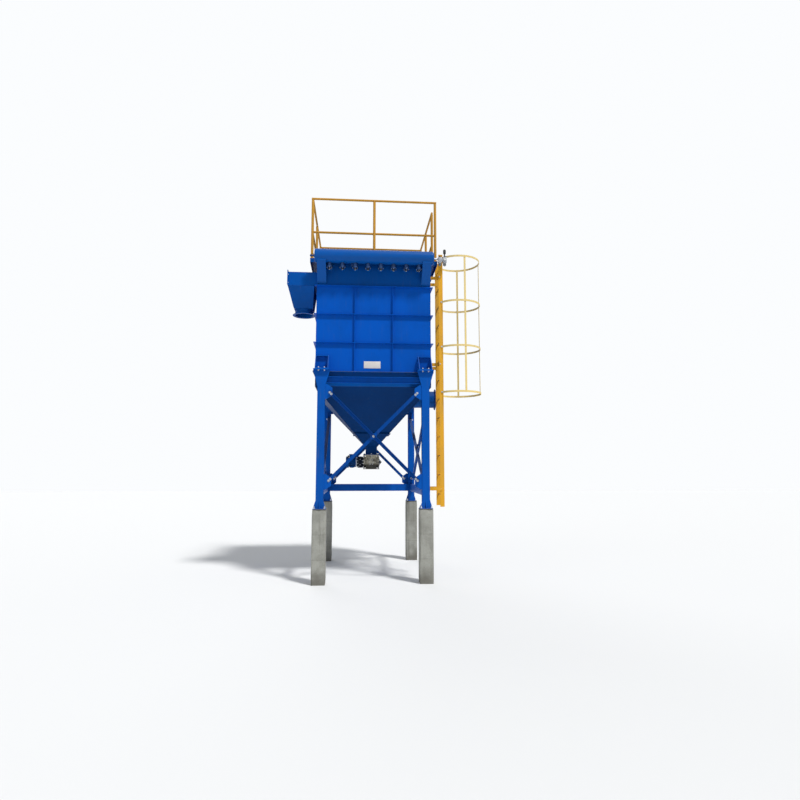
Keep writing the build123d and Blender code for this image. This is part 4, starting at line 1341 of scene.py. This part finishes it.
@dataclass
class OutletHood:
    """The hood's lip bolts and weld beads."""

    lip: float = 0.0125
    lip_thickness: float = 0.01
    pitch: float = 0.11
    tube_radius: float = 0.145
    mouth_half: float = 0.15

    def build(self) -> None:
        """Adds the bolts round the lip and the beads on the corners."""
        hood, taper, spigot = Span.of("outlet_hood"), Span.of("hood_end_tapers"), Span.of("outlet_spigot")
        x, _, front, back = hood.sides
        y0, y1 = front + self.lip, back - self.lip
        z0, z1 = Span.of("tube_sheet").high.z, hood.high.z - self.lip
        places = [(y, z1) for y in spaced(y0, y1, self.pitch)]
        places += [(y, z) for z in spaced(z0 + 0.03, z1 - 0.06, self.pitch)[:2] for y in (y0, y1)]
        heads = [Spot(at(x, y, z), LEFT) for y, z in places]
        rivets.spread("hood_bolt_heads", "zinc_plate", "blue_hood", heads, Radius=0.0085, Height=0.0025)
        nuts = [Spot(at(x + self.lip_thickness, y, z), RIGHT) for y, z in places]
        bolts.spread("hood_nuts", "zinc_plate", "blue_hood", nuts, Radius=0.0075, Height=0.006, Stud=0.004,
                     Washer=0.0015)
        mouth = taper.low.z + 0.006
        x0, x1, y0, y1 = taper.sides
        mid_x, mid_y, _ = spigot.core
        lines = [[at(edge_x, edge_y, taper.high.z),
                  at(mid_x + i * self.mouth_half, mid_y + k * self.mouth_half, mouth)]
                 for edge_x, i in ((x0, -1), (x1, 1)) for edge_y, k in ((y0, -1), (y1, 1))]
        lines.append(rectangle(x0, x1, y0, y1, taper.high.z))
        lines += [hoop((mid_x, mid_y, z), self.tube_radius, 40, Axis.Z)
                  for z in (spigot.low.z + 0.010, mouth - 0.008)]
        seams.run("hood_welds", "hood_blue", "blue_hood", lines, Radius=0.004)


@dataclass
class RotaryValve:
    """The valve's bearing cover, hand cover and ribs."""

    face_reach: float = 0.129
    rib_x: float = 0.075
    rib_y: float = 0.088
    flanges: float = 0.024
    hand_cover_y: float = -0.085

    def build(self) -> None:
        """Adds the covers, the ribs between the flanges and the cover bolts."""
        valve = Span.of("rotary_valve")
        z, right = DRIVE_Z, valve.core[0] + self.face_reach
        cover = Shape().lathe(at(right - 0.001, 0.0, z), RIGHT,
                              mm((0, 62), (10, 62), (14, 58), (14, 36), (30, 33), (34, 28), (34, 0)), 40)
        cover.lathe(at(right + 0.033, 0.0, z), RIGHT, mm((0, 14), (12, 14), (14, 11), (14, 0)), 24)
        cover.piece("bearing_cover", "dark_fitting", "rotary_valve_metal")
        spots = (ring((right, 0.0, z), 0.091, 10, Axis.X, RIGHT, phase=0.5)
                 + ring((-right, 0.0, z), 0.091, 10, Axis.X, LEFT, phase=0.5)
                 + ring((right + 0.009, 0.0, z), 0.050, 6, Axis.X, RIGHT, phase=0.5))
        bolts.spread("valve_cover_bolts", "zinc_plate", "rotary_valve_metal", spots, Radius=0.0075,
                     Height=0.006, Stud=0.003, Washer=0.0015)
        ribs = [Spot(at(x, way * self.rib_y, z), level(0.0, way), UP) for way in BOTH
                for x in (-self.rib_x, self.rib_x)]
        bars.spread("valve_ribs", "valve_casting", "rotary_valve_metal", ribs, Width=0.012, Height=0.038,
                    Length=valve.high.z - valve.low.z - self.flanges)
        middle = Shape().lathe(at(0.0, self.hand_cover_y, z), FRONT,
                               mm((0, 52), (14, 52), (17, 48), (17, 0)), 36)
        middle.piece("valve_hand_cover", "valve_casting", "rotary_valve_metal")
        bolts.spread("hand_cover_bolts", "zinc_plate", "rotary_valve_metal",
                     ring((0.0, -0.102, z), 0.040, 6, Axis.Y, FRONT),
                     Radius=0.005, Height=0.004, Stud=0.002, Washer=0.001)


@dataclass
class Gearbox:
    """The cast gear case with its covers, ribs and bolts."""

    wall: float = 0.012
    rib_pitch: float = 0.03
    rib_rise: float = 0.070

    def build(self) -> None:
        """Adds a housing with rounded edges, its bearing covers, the ribs, a plug and the bolts."""
        gearbox = Span.of("valve_gearbox")
        (x0, x1, _, _), half, low, high = gearbox.sides, gearbox.half.y, gearbox.low.z, gearbox.high.z
        x, z = (x0 + x1) / 2, DRIVE_Z
        case = Shape().box(at(x0 + self.wall, -half + self.wall, low),
                           at(x1 - 0.010, half - self.wall, high), 0.018)
        case.lathe(at(x0, 0.0, z), RIGHT, mm((0, 70), (10, 70), (16, 62), (20, 0)), 36)
        case.lathe(at(x1, 0.0, z), LEFT, mm((0, 68), (10, 68), (14, 60), (18, 0)), 36)
        for way in BOTH:
            case.lathe(at(x, way * (half - 0.014), z), level(0.0, way),
                       mm((0, 50), (10, 50), (14, 44), (14, 18), (9, 16), (9, 0)), 36)
        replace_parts(case.piece("gear_case", "gearbox_paint", "gearbox_paint"), "valve_gearbox")
        ribs = [Spot(at(x + step * self.rib_pitch, way * (half - 0.013), z + side * self.rib_rise),
                     level(0.0, way), UP) for way in BOTH for step in (-1, 0, 1) for side in BOTH]
        bars.spread("gear_case_ribs", "gearbox_paint", "gearbox_paint", ribs, Length=0.036, Width=0.006,
                    Height=0.010)
        spots = [spot for way in BOTH for spot in ring((x, way * (half - 0.003), z), 0.043, 6, Axis.Y,
                                                       level(0.0, way), phase=0.5)]
        spots += [Spot(at(x0 + 0.035, -half + self.wall, low + 0.022), FRONT),
                  Spot(at(x, 0.0, high - 0.001), UP)]
        bolts.spread("gear_case_bolts", "zinc_plate", "gearbox_paint", spots, Radius=0.0055, Height=0.005,
                     Stud=0.002, Washer=0.001)


@dataclass
class Motor:
    """The motor with its fins, cowl, terminal box and flange."""

    fin_count: int = 28
    fin_height: float = 0.013
    fin_limit: float = 0.8
    shell: float = 0.076
    flange: float = 0.012
    cowl_length: float = 0.048
    cowl_slots: tuple[tuple[float, int], ...] = ((0.045, 14), (0.068, 20))
    slot_name: str = "motor_paint"

    def __post_init__(self) -> None:
        """Finds the motor and its terminal box."""
        self.span = Span.of("valve_motor")
        self.x0, self.x1 = self.span.sides[:2]
        self.radius, self.top = self.span.half.y, self.span.high.z
        self.box_x = self.span.core[0] + 0.012

    def build(self) -> None:
        """Adds a finned shell, end shields, a slotted cowl, a terminal box and a bright flange."""
        self._shell()
        x0, x1, z = self.x0, self.x1, DRIVE_Z
        length = x1 - x0 - self.cowl_length - 0.034
        fins = ring((x1 - self.flange - 0.014 - length / 2, 0.0, z), self.shell * 0.985, self.fin_count, Axis.X,
                    along=RIGHT)
        fins = [fin for fin in fins if fin.aim.z < self.fin_limit]
        bars.spread("motor_fins", "motor_blue", self.slot_name, fins, Length=length, Width=0.0032,
                    Height=self.fin_height)
        flange = Shape().lathe(at(x1, 0.0, z), LEFT,
                               mm((0, 80), (0, 90), (10, 90), (12, 87)) + [(self.flange, 0.070)], 48)
        flange.piece("motor_flange", "zinc_plate", self.slot_name)
        slots = [Spot(spot.place, LEFT, spot.aim) for radius, count in self.cowl_slots
                 for spot in ring((x0 - 0.0005, 0.0, z), radius, count, Axis.X)]
        bars.spread("cowl_slots", "black_plastic", self.slot_name, slots, Length=0.014, Width=0.005,
                    Height=0.0012)
        gland = Shape().lathe(at(self.box_x - 0.044, 0.0, self.top - 0.034), LEFT,
                              mm((0, 12), (8, 12), (8, 15), (20, 15), (24, 11), (30, 9), (30, 0)), 20)
        gland.piece("cable_gland", "black_plastic", self.slot_name)
        screws = [Spot(at(self.box_x + i * 0.040, k * 0.035, self.top - 0.0005)) for i in BOTH for k in BOTH]
        rivets.spread("terminal_box_screws", "zinc_plate", self.slot_name, screws, Radius=0.004, Height=0.0022)
        bolts.spread("motor_bolts", "zinc_plate", self.slot_name,
                     ring((x1 - self.flange, 0.0, z), 0.082, 4, Axis.X, LEFT, phase=0.5),
                     Radius=0.006, Height=0.005, Stud=0.003, Washer=0.001)

    def _shell(self) -> None:
        """The shell with its shields, cowl, terminal box and feet."""
        z, top, box_x, radius = DRIVE_Z, self.top, self.box_x, self.radius
        long, cowl = self.x1 - self.x0, self.cowl_length
        shell = Shape().lathe(at(self.x1 - self.flange, 0.0, z), LEFT,
                              mm((0, 84), (10, 84)) + [(0.014, self.shell), (long - 0.066, self.shell),
                                                       (long - 0.062, 0.082), (long - 0.05, 0.082)], 56)
        shell.lathe(at(self.x0, 0.0, z), RIGHT, [(0.0, 0.030), (0.0, radius - 0.012), (0.004, radius - 0.004),
                                                 (0.010, radius), (cowl, radius), (cowl, radius - 0.005)], 56)
        shell.box(at(box_x - 0.045, -0.040, z + self.shell - 0.01),
                  at(box_x + 0.045, 0.040, top - 0.012), 0.005)
        shell.box(at(box_x - 0.048, -0.043, top - 0.013), at(box_x + 0.048, 0.043, top), 0.004)
        for way in BOTH:
            shell.box(at(box_x - 0.030, way * 0.045 - 0.008, z - radius),
                      at(box_x + 0.030, way * 0.045 + 0.008, z - 0.060), 0.003)
        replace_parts(shell.piece("motor_shell", "motor_blue", "motor_paint"), "valve_motor")


class AirHeader:
    """What the tank's fittings, the pulse valves and the air service unit share."""

    def __init__(self) -> None:
        """Finds the tank."""
        self.tank = Span.of("header_tank_caps")
        _, self.y, self.z = self.tank.core
        self.radius, self.end = self.tank.half.z, self.tank.half.x


class PulseValves(AirHeader):
    """The valve bodies with their covers, the coils, the cover bolts and the pipes' clamp rings."""

    count: int = 8
    pitch: float = 0.2
    cover_drop: float = 0.055
    pipe_inset: float = 0.034

    def build(self) -> None:
        """Adds the eight valves and the nuts of their pipes."""
        y, low = self.y, Span.of("pulse_valves").low.z
        cover_z = self.z - self.radius - self.cover_drop
        drop = cover_z - low
        first = -self.pitch * (self.count - 1) / 2
        places = [first + self.pitch * i for i in range(self.count)]
        spots = [Spot(at(x, y, cover_z)) for x in places]
        body = Shape().lathe((0.0, 0.0, 0.062), DOWN,
                             mm((0, 31), (12, 34), (58, 34), (62, 44), (70, 46.5), (76, 46.5), (78, 43.5),
                                (80, 46.5), (84, 46.5), (88, 40), (92, 20), (93, 0)), 28)
        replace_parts(copies.of(body, "valve_bodies", "die_cast", "valve_metal", spots), "pulse_valves")
        coil = Shape().lathe((0.0, 0.0, -0.028), DOWN,
                             mm((0, 8), (4, 8), (4, 17)) + [(drop - 0.034, 0.017), (drop - 0.032, 0.007),
                                                            (drop - 0.028, 0.007), (drop - 0.028, 0.0)], 18)
        coil.box((-0.012, -0.036, -drop + 0.004), (0.012, -0.012, -0.034), 0.003)
        coil.lathe((0.0, -0.034, -drop / 2 - 0.016), FRONT, mm((0, 5.5), (7, 5.5), (8, 4), (8, 0)), 12)
        copies.of(coil, "valve_coils", "black_plastic", "valve_metal", spots)
        screws = [spot for x in places
                  for spot in ring((x, y, cover_z - 0.022), 0.041, 6, Axis.Z, DOWN, phase=0.5)]
        bolts.spread("valve_cover_screws", "zinc_plate", "valve_metal", screws, Radius=0.0042, Height=0.004,
                     Stud=0.002, Washer=0.0008)
        nuts = [Spot(at(x, y, low + 0.006), DOWN) for x in places]
        bolts.spread("coil_nuts", "zinc_plate", "valve_metal", nuts, Radius=0.009, Height=0.006, Stud=0.002,
                     Washer=0.0015)
        clamp = Shape().lathe(NOWHERE, UP, mm((0, 24), (0, 29), (18, 29), (18, 24)), 24)
        pipes = Span.of("blow_pipes")
        rings = [Spot(at(x, pipes.sides[3] - self.pipe_inset, pipes.middle.z), BACK) for x in places]
        copies.of(clamp, "pipe_nuts", "zinc_plate", "blue_air_header", rings)


class ServiceUnit(AirHeader):
    """The filter and the regulator, side by side, with the pipe from the tank's end."""

    half: float = 0.068
    height: float = 0.09
    drop: float = 0.020
    bowl_offset: float = 0.038
    slot_name: str = "valve_metal"

    def build(self) -> None:
        """Adds the bodies, the bowls, the knob, the pipe and the gauge."""
        span = Span.of("air_service_unit")
        self.x, self.high = span.sides[1] - self.half, span.high.z
        self.top = self.z - self.drop + self.height / 2
        self.low = self.top - self.height
        self._bodies()
        self._knob()
        self._gauge()

    def _bodies(self) -> None:
        """Both bodies with their bowls, screws and guards, and the link between them."""
        x, y, z, low, top = self.x, self.y, self.z, self.low, self.top
        body, bowl = Shape(), Shape()
        for number, way in enumerate(BOTH):
            middle = x + way * self.bowl_offset
            body.box(at(middle - 0.031, y - 0.026, low + 0.004), at(middle + 0.031, y + 0.026, top), 0.006)
            body.lathe(at(middle, y, low + 0.006), DOWN, mm((0, 24.5), (14, 24.5), (16, 22)), 28)
            bowl.lathe(at(middle, y, low - 0.008), DOWN,
                       mm((0, 21.5), (30, 20), (38, 14), (40, 6), (46, 5), (46, 0)), 28)
            screws = [Spot(at(middle + i * 0.023, y - 0.026, level_z), FRONT) for i in BOTH
                      for level_z in (low + 0.012, top - 0.010)]
            rivets.spread(f"service_screws_{number}", "zinc_plate", self.slot_name, screws, Radius=0.0035,
                          Height=0.0018)
            guard = ring((middle, y, low - 0.026), 0.0215, 8, Axis.Z, along=UP)
            bars.spread(f"bowl_guard_{number}", "dark_fitting", self.slot_name, guard, Length=0.034,
                        Width=0.005, Height=0.0025)
        body.box(at(x - 0.010, y - 0.020, low + 0.024), at(x + 0.010, y + 0.020, top - 0.018), 0.002)
        body.lathe(at(x - self.half + 0.008, y, z), LEFT, mm((0, 20), (4, 20), (6, 17), (16, 17)), 6)
        body.lathe(at(x + self.half - 0.010, y, z), RIGHT, mm((0, 20), (8, 18), (10, 16), (10, 9), (4, 8)), 24)
        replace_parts(body.piece("service_body", "light_fitting", "valve_metal"), "air_service_unit")
        bowl.piece("service_bowls", "clear_bowl", self.slot_name)

    def _knob(self) -> None:
        """The caps on both bodies and the regulator's ribbed knob."""
        y, top, rise = self.y, self.top, self.high - self.top
        filter_x, self.knob_x = self.x - self.bowl_offset, self.x + self.bowl_offset
        dark = Shape()
        for middle in (filter_x, self.knob_x):
            dark.lathe(at(middle, y, top - 0.002), UP, mm((0, 24), (9, 24), (12, 20), (14, 0)), 28)
        dark.lathe(at(self.knob_x, y, top), UP,
                   mm((0, 18), (20, 14), (24, 11)) + [(rise - 0.073, 0.011), (rise - 0.070, 0.019),
                                                      (rise - 0.064, 0.0205), (rise - 0.010, 0.0195),
                                                      (rise - 0.002, 0.015), (rise, 0.0)], 28)
        dark.lathe(at(filter_x, y, top + 0.008), UP, mm((0, 12), (16, 12), (18, 9), (18, 0)), 20)
        dark.piece("regulator_knob", "black_plastic", self.slot_name)
        bars.spread("knob_grips", "black_plastic", self.slot_name,
                    ring((self.knob_x, y, self.high - 0.038), 0.0195, 20, Axis.Z, along=UP),
                    Length=0.044, Width=0.0024, Height=0.0020)

    def _gauge(self) -> None:
        """The pipe from the tank, and the gauge with its dial and hand."""
        x, y, z = self.knob_x, self.y, self.z
        pipe = Shape().sweep([at(self.end - 0.006, y, z), at(self.x - self.half + 0.004, y, z)], 0.013, 18)
        pipe.lathe(at(self.end - 0.003, y, z), RIGHT, mm((0, 24), (14, 24), (18, 20), (18, 13)), 6)
        pipe.piece("supply_pipe", "zinc_plate", self.slot_name)
        case = Shape().lathe(at(x, y - 0.024, z - 0.016), FRONT,
                             mm((0, 6), (6, 6), (6, 20), (20, 21), (22, 19), (20, 17.5)), 32)
        case.piece("gauge_case", "zinc_plate", self.slot_name)
        dial = Shape().lathe(at(x, y - 0.043, z - 0.016), FRONT, mm((0, 18), (1.5, 18), (1.8, 0)), 32)
        dial.piece("gauge_dial", "dial_white", self.slot_name)
        hand = Spot(at(x + 0.003, y - 0.0447, z - 0.012), FRONT, Vector((0.6, 0.0, 0.8)))
        bars.spread("gauge_hand", "black_plastic", self.slot_name, [hand], Length=0.020, Width=0.0018,
                    Height=0.0008)


class AirTank(AirHeader):
    """The tank's beads, plug, cock and drain."""

    bead_share: float = 0.975
    drain_x: float = -0.35
    bracket_width: float = 0.14
    slot_name: str = "blue_air_header"

    def build(self) -> None:
        """Adds the beads at the caps, a cock, a drain and the beads at the brackets."""
        y, z, end, straight = self.y, self.z, -self.end, Span.of("header_tank").half.x
        lines = [hoop((way * straight, y, z), self.radius * self.bead_share, 48, Axis.X) for way in BOTH]
        seams.run("tank_welds", "header_blue", self.slot_name, lines, Radius=0.003, Unevenness=0.1)
        plug = Shape().lathe(at(end + 0.004, y, z), LEFT, mm((0, 24), (18, 24), (21, 21), (21, 13)), 6)
        plug.lathe(at(end - 0.010, y, z), LEFT,
                   mm((0, 13), (30, 13), (32, 18), (52, 18), (54, 14), (62, 12), (62, 0)), 20)
        plug.lathe(at(self.drain_x, y, z - self.radius + 0.003), DOWN,
                   mm((0, 16), (12, 16), (12, 10), (30, 10), (32, 14), (48, 14), (50, 8), (60, 7), (60, 0)), 18)
        plug.piece("tank_plugs", "die_cast", self.slot_name)
        outline = ((-0.062, 0.018), (-0.012, 0.030), (-0.012, 0.034), (-0.066, 0.022))
        lever = Shape().prism([at(end + dx, y - 0.005, z + dz) for dx, dz in outline], (0.0, 0.010, 0.0))
        lever.piece("cock_lever", "black_plastic", self.slot_name)
        bracket = Span.of("tank_brackets")
        face = -(Span.of("clean_air_plenum").half.y + BEAD_LIFT)
        lines = [stroke(way * x, face, (bracket.low.z + 0.01, bracket.high.z))
                 for way in BOTH for x in (bracket.half.x, bracket.half.x - self.bracket_width)]
        seams.run("bracket_welds", "header_blue", self.slot_name, lines, Radius=0.004)


@dataclass
class Ladder:
    """The fixings of the ladder and its cage."""

    stile: float = 0.01
    stile_bolt_x: float = 0.016
    tab_thickness: float = 0.006
    tab_bolts: tuple[float, float] = (0.0397, 0.0537)
    strap_angles: tuple[float, ...] = (-80.0, 0.0, 80.0)
    hoop_count: int = 4
    hoop_height: float = 0.03
    cage_radius: float = 0.3582
    rung_radius: float = 0.011
    rung_pitch: float = 0.3

    def build(self) -> None:
        """Adds the bolts, the cage's rivets and the rungs' weld beads."""
        hoops, brackets = Span.of("cage_hoops"), Span.of("ladder_brackets")
        x0, _, y0, y1 = Span.of("ladder_stiles").sides
        levels = spaced(hoops.low.z + self.hoop_height / 2, hoops.high.z - self.hoop_height / 2,
                        (hoops.high.z - hoops.low.z) / (self.hoop_count - 1))
        tab = self.tab_thickness
        spots = [Spot(at(x0 + dx, y, z), aim) for z in levels for dx in self.tab_bolts
                 for y, aim in ((y0 - tab, FRONT), (y1 + tab, BACK))]
        bracket_levels = (brackets.low.z + 0.025, Span.of("casing_flange").low.z + 0.135,
                          brackets.high.z - 0.025)
        spots += [Spot(at(x0 + self.stile_bolt_x, y, z), aim) for z in bracket_levels
                  for y, aim in ((y0, FRONT), (y1, BACK))]
        bolts.spread("ladder_bolts", "zinc_plate", "ladder_yellow", spots, Radius=0.0075, Height=0.006,
                     Stud=0.004, Washer=0.0015)
        middle_x, middle_y = hoops.sides[1] - self.cage_radius - 0.003, hoops.core[1]
        reach = self.cage_radius + 0.0015
        turns = [math.radians(angle) for angle in self.strap_angles]
        ways = [level(math.cos(turn), math.sin(turn)) for turn in turns]
        heads = [Spot(at(middle_x + way.x * reach, middle_y + way.y * reach, z), way)
                 for way in ways for z in levels]
        rivets.spread("cage_rivets", "cage_yellow", "cage_yellow", heads, Radius=0.0075, Height=0.0014)
        rungs, inner = Span.of("ladder_rungs"), self.stile + 0.001
        rung_levels = spaced(rungs.low.z + self.rung_radius, rungs.high.z - self.rung_radius, self.rung_pitch)
        lines = [hoop((rungs.core[0], y, z), 0.012, 12, Axis.Y) for z in rung_levels
                 for y in (y0 + inner, y1 - inner)]
        seams.run("rung_welds", "ladder_yellow", "ladder_yellow", lines, Radius=0.003, Step=0.006)


@dataclass
class Railing:
    """The bolts in the post feet and the beads round them."""

    post_radius: float = 0.021
    post_inset: float = 0.028
    foot_thickness: float = 0.008
    gate_gap: float = 0.035
    foot_bolt: float = 0.033
    bolt_edge: float = 0.012

    def build(self) -> None:
        """Adds the bolts and the beads of every post."""
        posts = Span.of("railing_posts")
        edge_x, edge_y = posts.half.x, posts.half.y
        x, y, foot = edge_x - self.post_inset, edge_y - self.post_inset, posts.low.z + self.foot_thickness
        gate_y = Span.of("ladder_stiles").sides[3] + self.gate_gap + self.post_radius
        places = [(-x, -y), (0.0, -y), (x, -y), (-x, 0.0), (x, gate_y), (x, (gate_y + y) / 2),
                  (-x, y), (0.0, y), (x, y)]
        bolt_places = [(px + i * self.foot_bolt, py + k * self.foot_bolt) for px, py in places
                       for i in BOTH for k in BOTH]
        spots = [Spot(at(bx, by, foot)) for bx, by in bolt_places
                 if abs(bx) < edge_x - self.bolt_edge and abs(by) < edge_y - self.bolt_edge]
        bolts.spread("post_bolts", "zinc_plate", "rail_yellow", spots, Radius=0.0075, Height=0.006, Stud=0.006)
        lines = [hoop((px, py, foot + BEAD_LIFT), self.post_radius + 0.0015, 16, Axis.Z) for px, py in places]
        seams.run("post_welds", "rail_yellow", "rail_yellow", lines, Radius=0.003, Step=0.008)


PAINTED = {
    "casing_blue": ("casing_front_panel", "casing_back_panel", "casing_left_panel", "casing_right_panel",
                    "casing_flange", "tube_sheet"),
    # Painted shade: darker than the casing's paint, for the tank's shadow on the plenum.
    "plenum_blue_painted_shade": ("clean_air_plenum", "roof_deck", "roof_covers"),
    "frame_blue": ("legs", "top_beams", "lower_beams", "gusset_plates", "support_lugs"),
    # Painted shade: the braces get a darker paint than the legs for the shade that they lie in.
    "brace_blue_painted_shade": ("end_braces", "side_braces"),
    # Painted shade: the hopper walls get a darker paint than the casing for the shade under it.
    "hopper_blue_painted_shade": ("hopper_front_wall", "hopper_back_wall", "hopper_left_wall", "hopper_right_wall",
                    "hopper_band", "hopper_neck"),
    "skirt_blue": ("hopper_skirt", "inlet_spigot"),
    "hood_blue": ("outlet_hood", "hood_end_tapers", "hood_side_tapers", "outlet_spigot"),
    "header_blue": ("header_tank", "header_tank_caps", "tank_brackets", "blow_pipes"),
    "die_cast": ("pulse_valves", "air_service_unit"),
    "valve_casting": ("rotary_valve",),
    "gearbox_paint": ("valve_gearbox",),
    "motor_blue": ("valve_motor",),
    "ladder_yellow": ("ladder_stiles", "ladder_rungs", "ladder_brackets"),
    "cage_yellow": ("cage_hoops", "cage_straps"),
    "rail_yellow": ("railing_posts", "handrails"),
    "concrete": ("plinths",),
}


def paint_model() -> None:
    """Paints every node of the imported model."""
    for finish, nodes in PAINTED.items():
        for node in nodes:
            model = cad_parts[node]
            if not model.material_slots:
                model.data.materials.append(palette[finish])
            for slot in model.material_slots:
                slot.material = palette[finish]


def main() -> None:
    """Builds the studio, paints the model and adds each sub-assembly's details."""
    logging.basicConfig(level=logging.INFO, format="%(message)s")
    Studio().build()
    paint_model()
    for assembly in (Footings(), Framework(), Casing(), RoofCovers(), Hopper(), OutletHood(), RotaryValve(),
                     Gearbox(), Motor(), PulseValves(), ServiceUnit(), AirTank(), Ladder(), Railing()):
        log.info("building %s", type(assembly).__name__)
        assembly.build()


if __name__ == "__main__":
    main()
